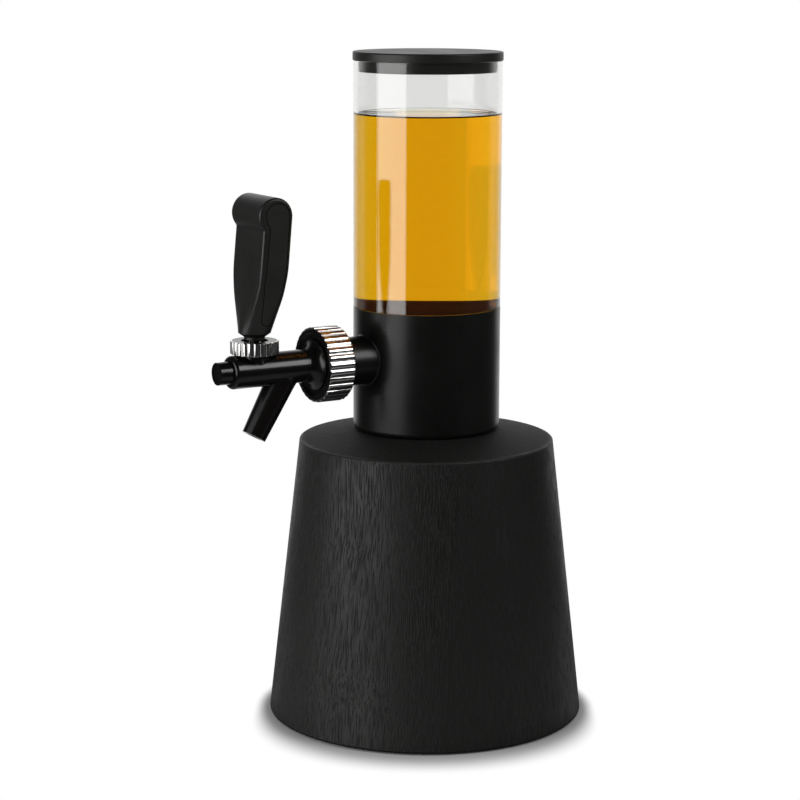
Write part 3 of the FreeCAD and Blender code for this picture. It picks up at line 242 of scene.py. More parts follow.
@dataclass(frozen=True)
class StainedAsh(Finish):
    """Turned ash, stained black and oiled: open pores along the grain, growth rings, an uneven sheen, and a
    painted highlight along the shoulder's edge.
    """

    pore_colour: str = "#0b0c0a"
    late_colour: str = "#0e0f0d"
    patch_colour: str = "#1a1c18"
    # the colour of the painted highlight along the shoulder's edge
    edge_highlight_colour: str = "#3a3b38"
    pore_width: float = 0.7
    pore_length: float = 14.0
    pore_depth: float = 0.12
    pore_edge: Point = (0.36, 0.5)  # the noise at a pore's middle and at its rim
    pore_roughness: float = 0.75
    end_band: Point = (0.5, 3.0)  # how far past the shoulder the end grain starts, and is full
    end_roughness: float = 0.68
    sheen_change: float = 0.08
    ring_width: float = 5.0
    late_start: float = 0.45  # the share of a ring that is early wood
    late_share: float = 0.6
    sways: tuple[Point, ...] = ((110.0, 16.0), (40.0, 5.0))  # each sway's length and its reach
    patch_size: Point = (26.0, 60.0)
    patch_edge: Point = (0.42, 0.72)
    patch_share: float = 0.5
    edge_highlight_band: Point = (0.3, 1.3)  # how far from the shoulder's edge the painted highlight starts to fade, and ends
    edge_highlight_share: float = 0.4
    pith: Corner = (-52.0, 38.0, 0.0)
    lean: Corner = (0.05, 0.09, 0.0)

    def shade(self, tree: Tree, surface: Node) -> None:
        """Draw pores, growth rings, blotches of stain and a painted highlight on the shoulder's edge along
        the grain attribute, in millimetres.
        """
        grain = bent = add_node(tree, "ShaderNodeAttribute", attribute_name="grain").outputs["Vector"]
        for length, reach in self.sways:
            sway = add_node(tree, "ShaderNodeTexNoise", {"Vector": grain, "Scale": 1 / length, "Detail": 1.0})
            bent = add_node(tree, "ShaderNodeVectorMath", {
                0: sway.outputs["Color"], 1: (reach, reach, 0.0), 2: bent}, operation="MULTIPLY_ADD")

        def streaks(width: float, length: float, detail: float) -> Node:
            """Make noise stretched along the grain."""
            scaled = add_node(tree, "ShaderNodeMapping", {
                "Vector": bent, "Scale": (1 / width, 1 / width, 1 / length)})
            return add_node(tree, "ShaderNodeTexNoise", {
                "Vector": scaled, "Scale": 1.0, "Detail": detail, "Roughness": 0.55})

        # A real pore is about 0.3 mm wide; these are drawn coarser, so that they still show from a distance.
        full = add_node(tree, "ShaderNodeMapRange", {
            "Value": streaks(self.pore_width, self.pore_length, 1.0),
            "From Min": self.pore_edge[0], "From Max": self.pore_edge[1]})
        blotches = streaks(*self.patch_size, 3.0)
        trunk = add_node(tree, "ShaderNodeMapping", {
            "Vector": bent, "Location": self.pith, "Rotation": self.lean})
        rings = add_node(tree, "ShaderNodeTexWave", {
            "Vector": trunk, "Scale": math.pi / (10 * self.ring_width), "Distortion": 0.6,
            "Detail": 1.0}, wave_type="RINGS", rings_direction="Z", wave_profile="SAW")
        late = add_node(tree, "ShaderNodeMapRange", {
            "Value": rings.outputs["Fac"], "From Min": self.late_start, "To Max": self.late_share})
        ringed = add_node(tree, "ShaderNodeMix", {
            0: late, 6: linear(self.colour), 7: linear(self.late_colour)}, data_type="RGBA")
        cloud = add_node(tree, "ShaderNodeMapRange", {
            "Value": blotches, "From Min": self.patch_edge[0], "From Max": self.patch_edge[1],
            "To Max": self.patch_share})
        patched = add_node(tree, "ShaderNodeMix", {
            0: cloud, 6: ringed, 7: linear(self.patch_colour)}, data_type="RGBA")
        pored = add_node(tree, "ShaderNodeMix", {
            0: full, 6: linear(self.pore_colour), 7: patched}, data_type="RGBA")
        # A lighter colour is painted in a thin band along the shoulder's edge, where the run is near nought:
        # a painted highlight.
        run = add_node(tree, "ShaderNodeSeparateXYZ", {"Vector": grain})
        away = add_node(tree, "ShaderNodeMath", {0: run.outputs["Z"]}, operation="ABSOLUTE")
        edge_highlight = add_node(tree, "ShaderNodeMapRange", {
            "Value": away, "From Min": self.edge_highlight_band[0], "From Max": self.edge_highlight_band[1],
            "To Min": self.edge_highlight_share, "To Max": 0.0})
        highlighted = add_node(tree, "ShaderNodeMix", {
            0: edge_highlight, 6: pored, 7: linear(self.edge_highlight_colour)}, data_type="RGBA")
        oiled = add_node(tree, "ShaderNodeMapRange", {
            "Value": blotches, "From Min": NOISE_LOW, "From Max": NOISE_HIGH,
            "To Min": self.roughness + self.sheen_change, "To Max": self.roughness - self.sheen_change})
        rough = add_node(tree, "ShaderNodeMix", {
            0: full, 2: self.pore_roughness, 3: oiled}, data_type="FLOAT")
        end = add_node(tree, "ShaderNodeMapRange", {
            "Value": run.outputs["Z"], "From Min": self.end_band[0], "From Max": self.end_band[1]})
        ended = add_node(tree, "ShaderNodeMix", {0: end, 2: rough, 3: self.end_roughness}, data_type="FLOAT")
        bump = add_node(tree, "ShaderNodeBump", {"Height": full, "Distance": self.pore_depth * MM})
        plug(tree, surface, {"Base Color": highlighted, "Roughness": ended, "Normal": bump})


@dataclass(frozen=True)
class PaintedLightSocket(MouldedPlastic):
    """Satin moulded plastic, with a lighter colour painted on the inner wall where the tube is bonded in:
    painted light that stands in for the amber light the beer lets through.
    """

    # the colour painted on the seat's wall, which stands in for light that comes through the beer
    seat_light_colour: str = "#b9b57a"
    seat_radius: float = 46.6
    seat_height: float = 250.0
    seat_roughness: float = 0.22

    def shade(self, tree: Tree, surface: Node) -> None:
        """Add the moulded skin, and the painted light on the seat's wall."""
        super().shade(tree, surface)
        skin = surface.inputs["Base Color"].links[0].from_socket
        where = add_node(tree, "ShaderNodeTexCoord").outputs["Object"]
        flat = add_node(tree, "ShaderNodeVectorMath", {0: where, 1: (1.0, 1.0, 0.0)}, operation="MULTIPLY")
        across = add_node(tree, "ShaderNodeVectorMath", {0: flat}, operation="LENGTH")
        inside = add_node(tree, "ShaderNodeMath", {
            0: across, 1: self.seat_radius * MM}, operation="LESS_THAN")
        height = add_node(tree, "ShaderNodeSeparateXYZ", {"Vector": where})
        above = add_node(tree, "ShaderNodeMath", {
            0: height.outputs["Z"], 1: self.seat_height * MM}, operation="GREATER_THAN")
        seat = add_node(tree, "ShaderNodeMath", {0: inside, 1: above}, operation="MULTIPLY")
        # Inside the seat's radius and above its height the colour is lightened: painted light, seen through
        # the beer.
        lit_seat_tone = add_node(tree, "ShaderNodeMix", {0: seat, 6: skin, 7: linear(self.seat_light_colour)}, data_type="RGBA")
        sheen = surface.inputs["Roughness"].links[0].from_socket
        seat_sheen = add_node(tree, "ShaderNodeMix", {0: seat, 2: sheen, 3: self.seat_roughness}, data_type="FLOAT")
        plug(tree, surface, {"Base Color": lit_seat_tone, "Roughness": seat_sheen})


@dataclass(frozen=True)
class Metal(Finish):
    """A plated or turned metal, with its tool marks or its plating's faint waves."""

    wave: float = 1.6
    depth: float = 0.002
    polish_change: float = 0.3
    stretch: Corner = (1.0, 1.0, 1.0)

    def shade(self, tree: Tree, surface: Node) -> None:
        """Add the waves and a trace of uneven polish."""
        waves = mottle(tree, self.wave, 2.0, stretch=self.stretch)
        polish = add_node(tree, "ShaderNodeMapRange", {
            "Value": waves, "To Min": self.roughness * (1 - self.polish_change),
            "To Max": self.roughness * (1 + self.polish_change)})
        bump = add_node(tree, "ShaderNodeBump", {"Height": waves, "Distance": self.depth * MM})
        plug(tree, surface, {"Metallic": 1.0, "Roughness": polish, "Normal": bump})


@dataclass(frozen=True)
class ClearAcrylic(Finish):
    """Cast acrylic tube, polished: clear with a faint grey, and a few fine handling marks."""

    ior: float = 1.49
    mark: float = 18.0
    haze: float = 0.02

    def shade(self, tree: Tree, surface: Node) -> None:
        """Make it transmit, with roughness that rises in faint marks."""
        haze = add_node(tree, "ShaderNodeMapRange", {
            "Value": mottle(tree, self.mark, 4.0), "From Min": 0.5, "From Max": 0.8,
            "To Min": self.roughness, "To Max": self.roughness + self.haze})
        plug(tree, surface, {"Transmission Weight": 1.0, "IOR": self.ior, "Roughness": haze})


@dataclass(frozen=True)
class Lager(Finish):
    """Clear lager: it bends light as water does and takes out blue first, then green."""

    ior: float = 1.34
    passed: Corner = (0.99, 0.87, 0.04)
    density: float = 75.0
    ripple: float = 30.0
    ripple_depth: float = 0.01

    def shade(self, tree: Tree, surface: Node) -> None:
        """Make it transmit, and absorb along the light's path through it."""
        bump = add_node(tree, "ShaderNodeBump", {
            "Height": mottle(tree, self.ripple, 1.0), "Strength": 0.5, "Distance": self.ripple_depth * MM})
        plug(tree, surface, {"Transmission Weight": 1.0, "IOR": self.ior, "Normal": bump})
        body = add_node(tree, "ShaderNodeVolumeAbsorption", {
            "Color": (*self.passed, 1.0), "Density": self.density})
        plug(tree, tree.nodes["Output"], {"Volume": body})


# Ash under black stain and oil: near black, with matt pores, a soft sheen between them, and a painted
# highlight on the shoulder's edge.
BLOCK_WOOD = StainedAsh("stained_ash", "#131411", 0.46)
# Moulded ABS with a satin skin: deep black with one soft upright highlight, and light painted on the inner
# wall of the seat.
SOCKET_BLACK = PaintedLightSocket("satin_abs", "#0d0e0c", 0.3)
# The lid's ABS is a little duller and greyer, so that its top shows as a soft olive grey.
LID_BLACK = MouldedPlastic("satin_lid_abs", "#1e1f1a", 0.42, grain=0.5, depth=0.01)
# Polished acetal: the blackest piece, with clear but soft-edged reflections of the lamps.
TAP_BLACK = MouldedPlastic("gloss_acetal", "#0d0b0a", 0.2, grain=3.0, depth=0.006, sheen_change=0.02)
# Satin glass-filled nylon: a charcoal handle with dull, even highlights.
HANDLE_BLACK = MouldedPlastic("satin_handle_nylon", "#1d1f1c", 0.38, grain=0.4, depth=0.01)
# The side panels are moulded apart from the grip, and came out a shade lighter.
PANEL_BLACK = MouldedPlastic("satin_panel_nylon", "#20211d", 0.42, grain=0.4, depth=0.01)
# Bright chrome over moulded plastic: a mirror with the faintest waves.
CHROME = Metal("chrome_plate", "#dcdbda", 0.09, depth=0.0012)
# Turned stainless steel: a dull mirror with fine rings from the tool.
TURNED_STEEL = Metal("turned_stainless", "#b9b9b6", 0.2, wave=0.6, stretch=(0.1, 0.1, 3.0))
# Zinc plate on the bolt and its washer: a cool, cloudy grey.
ZINC_STEEL = Metal("zinc_plated_steel", "#a9aaa8", 0.38, wave=0.8, depth=0.006)
# Turned brass inserts: warm yellow with fine rings from the tool.
BRASS = Metal("turned_brass", "#b98f45", 0.25, wave=0.6, stretch=(0.1, 0.1, 3.0))
# Nitrile rubber seals: flat black.
RUBBER = MouldedPlastic("black_rubber", "#141414", 0.7, grain=0.6, depth=0.02)
# Closed-cell foam under the block: flat charcoal with a crumb.
FOAM = MouldedPlastic("foam_pad", "#1b1b1b", 0.85, grain=0.8, depth=0.08)
# Undyed nylon for the ball's seat and the bonnet's washer: ivory.
NYLON = MouldedPlastic("natural_nylon", "#d6d3c6", 0.45, grain=0.5, depth=0.01)
# Cast acrylic: clear, with the faint grey that two walls give to a white wall behind them.
ACRYLIC = ClearAcrylic("cast_acrylic", "#f5f5f4", 0.0)
# Lager: clear amber, golden where it is thin.
LAGER = Lager("lager", "#ffffff", 0.0)


# ---- meshes

def settle(shape: bmesh.types.BMesh, mesh: Mesh) -> Mesh:
    """Write a shape into a mesh, free it, and return the mesh."""
    shape.to_mesh(mesh)
    shape.free()
    return mesh


def smooth(shape: bmesh.types.BMesh) -> None:
    """Smooth all of a shape's faces."""
    for face in shape.faces:
        face.smooth = True


def soften(corners: Iterable[Corner], steps: int = 4, closed: bool = True) -> list[Point]:
    """Round the corners of an outline.

    Args:
        corners: Points with the radius of the arc that each gets, or 0 to stay sharp.
        steps: Facets in each arc.
        closed: Whether the last point joins the first.

    Returns:
        The outline's points.
    """
    corners = list(corners)
    outline: list[Point] = []
    for index, (across, up, radius) in enumerate(corners):
        here = Vector((across, up))
        is_end = not closed and index in (0, len(corners) - 1)
        if radius <= 0 or is_end:
            outline.append((across, up))
            continue
        before = (Vector(corners[index - 1][:2]) - here).normalized()
        after = (Vector(corners[(index + 1) % len(corners)][:2]) - here).normalized()
        half = before.angle(after) / 2
        centre = here + (before + after).normalized() * (radius / math.sin(half))
        start, stop = here + before * (radius / math.tan(half)), here + after * (radius / math.tan(half))
        for step in range(steps + 1):
            spoke = (start - centre).lerp(stop - centre, step / steps).normalized() * radius
            outline.append(tuple(centre + spoke))
    return outline


def lathe(outline: Sequence[Point], facets: int = FINE, closed: bool = True,
          grain_radius: float = 0.0, grain_start: Point = (0.0, 0.0)) -> Mesh:
    """Turn an outline about its own Z axis.

    Args:
        outline: Points as (radius, height). An open outline starts and ends on the axis.
        facets: Facets round the turn.
        closed: Whether the last point joins the first.
        grain_radius: Where given, writes the "grain" attribute, which unrolls the skin on that radius.
        grain_start: The grain's run is counted from the outline's point that lies nearest to this one.

    Returns:
        The mesh, in millimetres, with smooth faces that point outwards.
    """
    shape = bmesh.new()
    layer = shape.verts.layers.float_vector.new("grain") if grain_radius else None
    runs = [0.0]
    for before, after in zip(outline, outline[1:]):
        runs.append(runs[-1] + math.dist(before, after))
    nearest = min(range(len(outline)), key=lambda index: math.dist(outline[index], grain_start))
    rings = []
    for (radius, height), run in zip(outline, runs):
        if radius < ON_AXIS:
            rings.append([shape.verts.new((0, 0, height))])
            continue
        ring = []
        for facet in range(facets):
            turn = math.tau * facet / facets
            vertex = shape.verts.new((radius * math.cos(turn), radius * math.sin(turn), height))
            if layer:
                vertex[layer] = (grain_radius * math.cos(turn), grain_radius * math.sin(turn),
                                 run - runs[nearest])
            ring.append(vertex)
        rings.append(ring)
    pairs = list(zip(rings, rings[1:])) + ([(rings[-1], rings[0])] if closed else [])
    for lower, upper in pairs:
        for facet in range(facets):
            following = (facet + 1) % facets
            loop = [lower[facet % len(lower)], lower[following % len(lower)],
                    upper[following % len(upper)], upper[facet % len(upper)]]
            corners = list(dict.fromkeys(loop))
            if len(corners) > 2:
                shape.faces.new(corners)
    bmesh.ops.recalc_face_normals(shape, faces=shape.faces)
    smooth(shape)
    return settle(shape, bpy.data.meshes.new("lathe"))


def along_tap(axis_height: float) -> Matrix:
    """Give the placement that lays a piece along the tap, whose axis points towards -Y."""
    return Matrix.Translation((0, 0, axis_height)) @ Matrix.Rotation(math.radians(90), 4, "X")


def finish_piece(name: str, mesh: Mesh, finish: Finish, body: Body,
                 replaced: Sequence[str], place: Optional[Matrix] = None) -> bpy.types.Object:
    """Put a mesh made in millimetres into the scene as one piece of the part.

    Args:
        name: The piece's name.
        mesh: The mesh.
        finish: The finish it gets.
        body: The body it rides on.
        replaced: The nodes that it stands for.
        place: Where the mesh goes, in millimetres.

    Returns:
        The piece.
    """
    mesh.transform(Matrix.Scale(MM, 4) @ (place or Matrix.Identity(4)))
    mesh.name = name
    mesh.materials.clear()
    mesh.materials.append(finish.build())
    piece = show(name, mesh)
    even = piece.modifiers.new("even_normals", "WEIGHTED_NORMAL")
    even.keep_sharp = True
    even.weight = 100
    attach(piece, body.value)
    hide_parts(*replaced)
    log.info("%s: %d faces, stands for %s", name, len(mesh.polygons), ", ".join(replaced))
    return piece


def skin_of(node: str, crease: float = 28.0) -> Mesh:
    """Copy a node's mesh with its doubles merged and its faces smooth up to a crease.

    Args:
        node: The node.
        crease: The angle from which an edge stays sharp, in degrees.

    Returns:
        The mesh, in millimetres.
    """
    shape = bmesh.new()
    shape.from_mesh(frame["nodes"][node].data)
    bmesh.ops.remove_doubles(shape, verts=shape.verts, dist=DOUBLE)
    bmesh.ops.dissolve_degenerate(shape, edges=shape.edges, dist=SLIVER)
    smooth(shape)
    for edge in shape.edges:
        edge.smooth = len(edge.link_faces) == 2 and edge.calc_face_angle(0.0) < math.radians(crease)
    mesh = settle(shape, bpy.data.meshes.new(node + "_skin"))
    mesh.transform(Matrix.Scale(1 / MM, 4))
    return mesh


def ease_corner(mesh: Mesh, axis: Vector, height: float, reach: float, cut: float,
                rows: int = 8) -> None:
    """Round a level corner that runs round an upright piece, by drawing it in towards the axis.

    Args:
        mesh: The mesh, in millimetres.
        axis: A point on the upright axis.
        height: The corner's height.
        reach: How far the rounding goes up and down.
        cut: The share by which the corner itself is drawn in.
        rows: Rows of faces in each half of the rounding.
    """
    shape = bmesh.new()
    shape.from_mesh(mesh)
    for row in range(-rows, rows + 1):
        bmesh.ops.bisect_plane(shape, geom=shape.verts[:] + shape.edges[:] + shape.faces[:], dist=1e-4,
                               plane_co=(0, 0, height + reach * row / rows), plane_no=(0, 0, 1))
    for vertex in shape.verts:
        off = abs(vertex.co.z - height) / reach
        if off < 1:
            share = 1 - cut * (1 - off) ** 2
            vertex.co.x = axis.x + (vertex.co.x - axis.x) * share
            vertex.co.y = axis.y + (vertex.co.y - axis.y) * share
    settle(shape, mesh)


def dress(finish: Finish, *nodes: str) -> None:
    """Give nodes that stay in view their finish."""
    for node in nodes:
        materials = frame["nodes"][node].data.materials
        materials.clear()
        materials.append(finish.build())
        log.info("%s: carried over, %s", node, finish.name)


def joint_place(name: str) -> Vector:
    """Give a hinge's place from the record, in millimetres."""
    for joint in frame["record"]["behaviour"]["joints"]:
        if joint["name"] == name:
            return Vector(joint["pos_m"]) / MM
    raise KeyError(name)


def node_box(node: str) -> tuple[Vector, Vector]:
    """Give a node's lowest and highest corners, in millimetres."""
    low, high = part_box(node)
    return Vector(low) / MM, Vector(high) / MM


# ---- geometry nodes

@dataclass
class RibbedBand:
    """A chromed band whose ribs are one sector repeated round its axis."""

    ribs: int
    inner: float
    outer: float
    low: float
    high: float
    low_bevel: float
    high_bevel: float
    flute: float
    crown: float
    hollow: float = 0.6  # the flute's depth as a share of its half width
    across_steps: int = 7
    crease: float = 38.0

    def sector_line(self) -> list[Point]:
        """Draw one pitch of the band's skin, from the middle of a flute to the middle of the next.

        Returns:
            Points as (angle, radius).
        """
        pitch = math.tau / self.ribs
        flute_half = self.flute / self.outer
        line: list[Point] = []
        for step in range(self.across_steps):
            share = step / self.across_steps
            line.append((share * flute_half,
                         self.outer - self.crown - math.sqrt(1 - share ** 2) * self.flute * self.hollow))
        rib_half = pitch / 2 - flute_half
        for step in range(self.across_steps + 1):
            share = step / self.across_steps
            swell = self.crown * (1 - (1 - share) ** 2)
            line.append((flute_half + share * rib_half, self.outer - self.crown + swell))
        mirrored = [(pitch - angle, radius) for angle, radius in reversed(line[:-1])]
        return line + mirrored

    def sector(self) -> Mesh:
        """Build one sector of the band, open at its two sides.

        Returns:
            The mesh, in millimetres.
        """
        shape = bmesh.new()
        line = self.sector_line()
        levels = [(self.low, self.low_bevel), (self.low + self.low_bevel, 0.0),
                  (self.high - self.high_bevel, 0.0), (self.high, self.high_bevel)]
        rows = [[(angle, min(radius, self.outer - cut), height) for angle, radius in line]
                for height, cut in levels]
        rows += [[(angle, self.inner, height) for angle, _ in line] for height in (self.high, self.low)]
        grid = [[shape.verts.new((radius * math.cos(angle), radius * math.sin(angle), height))
                 for angle, radius, height in row] for row in rows]
        for row, after in zip(grid, grid[1:] + grid[:1]):
            for index in range(len(line) - 1):
                shape.faces.new((row[index], row[index + 1], after[index + 1], after[index]))
        smooth(shape)
        return settle(shape, bpy.data.meshes.new("rib_sector"))

    @staticmethod
    def tree() -> Tree:
        """Build the tree that repeats a sector round Z.

        Returns:
            The tree, with the inputs Ribs and Finish.
        """
        tree = bpy.data.node_groups.get("repeat_ribs")
        if tree:
            return tree
        tree = bpy.data.node_groups.new("repeat_ribs", "GeometryNodeTree")
        for name, way, kind in (("Geometry", "INPUT", "Geometry"), ("Ribs", "INPUT", "Int"),
                                ("Finish", "INPUT", "Material"), ("Geometry", "OUTPUT", "Geometry")):
            tree.interface.new_socket(name, in_out=way, socket_type="NodeSocket" + kind)
        given = add_node(tree, "NodeGroupInput")
        spots = add_node(tree, "GeometryNodePoints", {"Count": given.outputs["Ribs"]})
        index = add_node(tree, "GeometryNodeInputIndex")
        share = add_node(tree, "ShaderNodeMath", {0: index, 1: given.outputs["Ribs"]}, operation="DIVIDE")
        turn = add_node(tree, "ShaderNodeMath", {0: share, 1: math.tau}, operation="MULTIPLY")
        about = add_node(tree, "ShaderNodeCombineXYZ", {"Z": turn})
        copies = add_node(tree, "GeometryNodeInstanceOnPoints", {
            "Points": spots, "Instance": given.outputs["Geometry"], "Rotation": about})
        real = add_node(tree, "GeometryNodeRealizeInstances", {"Geometry": copies})
        whole = add_node(tree, "GeometryNodeMergeByDistance", {"Geometry": real, "Distance": SEAM})
        finished = add_node(tree, "GeometryNodeSetMaterial", {
            "Geometry": whole, "Material": given.outputs["Finish"]})
        add_node(tree, "NodeGroupOutput", {"Geometry": finished})
        return tree

    def build(self, finish: Finish) -> Mesh:
        """Repeat the sector into the whole band.

        Args:
            finish: The finish the tree sets.

        Returns:
            The band's mesh, in millimetres.
        """
        holder = show("rib_holder", self.sector())
        modifier = holder.modifiers.new("ribs", "NODES")
        tree = modifier.node_group = self.tree()
        names = {item.name: item.identifier for item in tree.interface.items_tree if item.in_out == "INPUT"}
        modifier[names["Ribs"]] = self.ribs
        modifier[names["Finish"]] = finish.build()
        shown = holder.evaluated_get(bpy.context.evaluated_depsgraph_get())
        mesh = bpy.data.meshes.new_from_object(shown)
        bpy.data.objects.remove(holder)
        shape = bmesh.new()
        shape.from_mesh(mesh)
        bmesh.ops.recalc_face_normals(shape, faces=shape.faces)
        for edge in shape.edges:
            edge.smooth = edge.calc_face_angle(0.0) < math.radians(self.crease)
        return settle(shape, mesh)


# ---- sub-assemblies

@dataclass
class Block:
    """The turned wooden block, its pad and its fixings."""

    foot_radius: float = 103.1
    shoulder_radius: float = 82.6
    shoulder_height: float = 182.8
    seat_radius: float = 47.6
    foot_round: float = 1.5
    shoulder_round: float = 1.6
    bore: float = 4.5
    counterbore: float = 15.0
    pad_gap: float = 0.2
    edge: float = 0.4
    # how far in from the shoulder's corner the painted edge highlight is centred
    edge_highlight_inset: float = 0.4

    def build(self) -> None:
        """Turn the block with a grain that follows its skin, and dress what lies under it."""
        low, high = node_box("base_block")
        pad = node_box("anti_slip_pad")[1]
        washer_top = node_box("bolt_washer")[1].z
        recess = pad.x + self.pad_gap
        outline = soften([
            (self.bore, washer_top, 0), (self.counterbore, washer_top, 0), (self.counterbore, pad.z, 0),
            (recess, pad.z, 0), (recess, low.z, 0), (self.foot_radius, low.z, self.foot_round),
            (self.shoulder_radius, self.shoulder_height, self.shoulder_round),
            (self.seat_radius, high.z, self.edge), (self.bore, high.z, 0)], steps=6)
        # The grain's run is counted from the shoulder's edge, where the wood's finish paints a highlight.
        mesh = lathe(outline, grain_radius=self.foot_radius,
                     grain_start=(self.shoulder_radius - self.edge_highlight_inset, self.shoulder_height))
        finish_piece("turned_block", mesh, BLOCK_WOOD, Body.TOWER, ["base_block"])
        dress(FOAM, "anti_slip_pad")
        dress(ZINC_STEEL, "tower_bolt", "bolt_washer")


@dataclass
class Vessel:
    """The socket, the clear tube, its gasket and the beer."""

    spigot_wall: float = 1.5
    spigot_depth: float = 10.3
    spigot_edge: float = 0.1
    edge: float = 0.35
    socket_bore: float = 42.5
    floor_round: float = 5.0
    gap: float = 0.1
    sunk: float = 0.2
    creep: float = 1.4  # how high the beer climbs the wall
    creep_reach: float = 3.2
    creep_fall: float = 4.0
    creep_steps: int = 10
    creep_root: float = 2.0

    def build_tube(self) -> None:
        """Turn the tube."""
        low, high = node_box("clear_tube")
        bore, spigot = high.x - TUBE_WALL, high.x - TUBE_WALL + self.spigot_wall
        rim = low.z + self.spigot_depth
        outline = soften([
            (bore, low.z, self.spigot_edge), (spigot, low.z, self.spigot_edge), (spigot, rim, 0),
            (high.x, rim, self.spigot_edge), (high.x, high.z, self.edge), (bore, high.z, self.edge)])
        finish_piece("acrylic_tube", lathe(outline), ACRYLIC, Body.TOWER, ["clear_tube"])

    def build_beer(self) -> None:
        """Fill the socket and the tube; the beer's skin lies inside the tube's wall, where they meet."""
        low, high = node_box("beer_fill")
        tube_low, tube_high = node_box("clear_tube")
        seat = tube_low.z + self.gap
        skin, inner = tube_high.x - TUBE_WALL + self.sunk, self.socket_bore - self.gap
        surface = []
        for step in range(self.creep_steps + 1):
            share = step / self.creep_steps
            climb = math.exp(-self.creep_fall * share) - math.exp(-self.creep_fall)
            surface.append((skin - self.creep_reach * share, high.z + self.creep * climb))
        outline = soften([
            (0.0, low.z, 0), (inner, low.z, self.floor_round), (inner, seat, 0), (skin, seat, 0),
            (skin, high.z - self.creep_root, 0)], steps=6, closed=False)
        outline += surface + [(0.0, high.z)]
        finish_piece("beer_column", lathe(outline, closed=False), LAGER, Body.TOWER, ["beer_fill"])

    def build(self) -> None:
        """Build the vessel and dress the pieces inside it."""
        finish_piece("socket_shell", skin_of("socket"), SOCKET_BLACK, Body.TOWER, ["socket"])
        self.build_tube()
        self.build_beer()
        dress(RUBBER, "tube_gasket")
        dress(BRASS, "socket_insert")


@dataclass
class Lid:
    """The loose lid."""

    lip_gap: float = 0.25
    lip_wall: float = 3.0
    lip_round: float = 0.6
    edge: float = 1.0

    def build(self) -> None:
        """Turn the plate and its hollow lip."""
        low, high = node_box("lid_cap")
        tube = node_box("clear_tube")[1]
        lip = tube.x - TUBE_WALL - self.lip_gap
        hollow = lip - self.lip_wall
        outline = soften([
            (0.0, tube.z, 0), (hollow, tube.z, FILLET), (hollow, low.z, self.lip_round),
            (lip, low.z, self.lip_round), (lip, tube.z, BREAK), (high.x, tube.z, FILLET),
            (high.x, high.z, self.edge), (0.0, high.z, 0)], steps=5, closed=False)
        finish_piece("lid_plate", lathe(outline, closed=False), LID_BLACK, Body.LID, ["lid_cap"])


@dataclass
class Tap:
    """The tap's body, its coupling nut and its plunger."""

    thread_bore: float = 18.09
    lip_bore: float = 16.25
    lip_rear: float = 81.6
    recess: float = 83.2
    ring_inner: float = 20.0
    core_radius: float = 22.6
    band_gap: float = 0.05
    edge: float = 0.35
    ribs: int = 30
    flute: float = 0.7
    crown: float = 0.45
    rear_bevel: float = 1.2
    front_bevel: float = 0.5

    def build_nut(self, axis: float) -> None:
        """Build the coupling nut's black core and its ribbed chrome band.

        Args:
            axis: Height of the tap's axis.
        """
        low, high = node_box("coupling_nut_core")
        rear, front = -high.y, -low.y
        outline = soften([
            (self.thread_bore, rear, BREAK), (self.core_radius, rear, self.edge),
            (self.core_radius, front, self.edge), (self.ring_inner, front, self.edge),
            (self.ring_inner, self.recess, FILLET), (self.lip_bore, self.recess, FILLET),
            (self.lip_bore, self.lip_rear, 0), (self.thread_bore, self.lip_rear, 0)])
        finish_piece("nut_core", lathe(outline, MEDIUM), TAP_BLACK, Body.NUT, ["coupling_nut_core"],
                     along_tap(axis))
        low, high = node_box("coupling_nut_sleeve")
        band = RibbedBand(self.ribs, self.core_radius + self.band_gap, high.x, -high.y, -low.y,
                          self.rear_bevel, self.front_bevel, self.flute, self.crown)
        finish_piece("nut_chrome_band", band.build(CHROME), CHROME, Body.NUT, ["coupling_nut_sleeve"],
                     along_tap(axis))

    def build(self) -> None:
        """Build the tap and dress the pieces inside it."""
        axis = joint_place("coupling_nut_turn").z
        finish_piece("tap_shell", skin_of("tap_body"), TAP_BLACK, Body.TOWER, ["tap_body"])
        self.build_nut(axis)
        finish_piece("tap_plunger", skin_of("plunger_shaft"), TAP_BLACK, Body.PLUNGER, ["plunger_shaft"])
        dress(RUBBER, "inlet_washer", "plunger_seal", "plunger_o_rings")
        dress(TURNED_STEEL, "seal_screw")
        dress(NYLON, "ball_seat", "bonnet_washer")


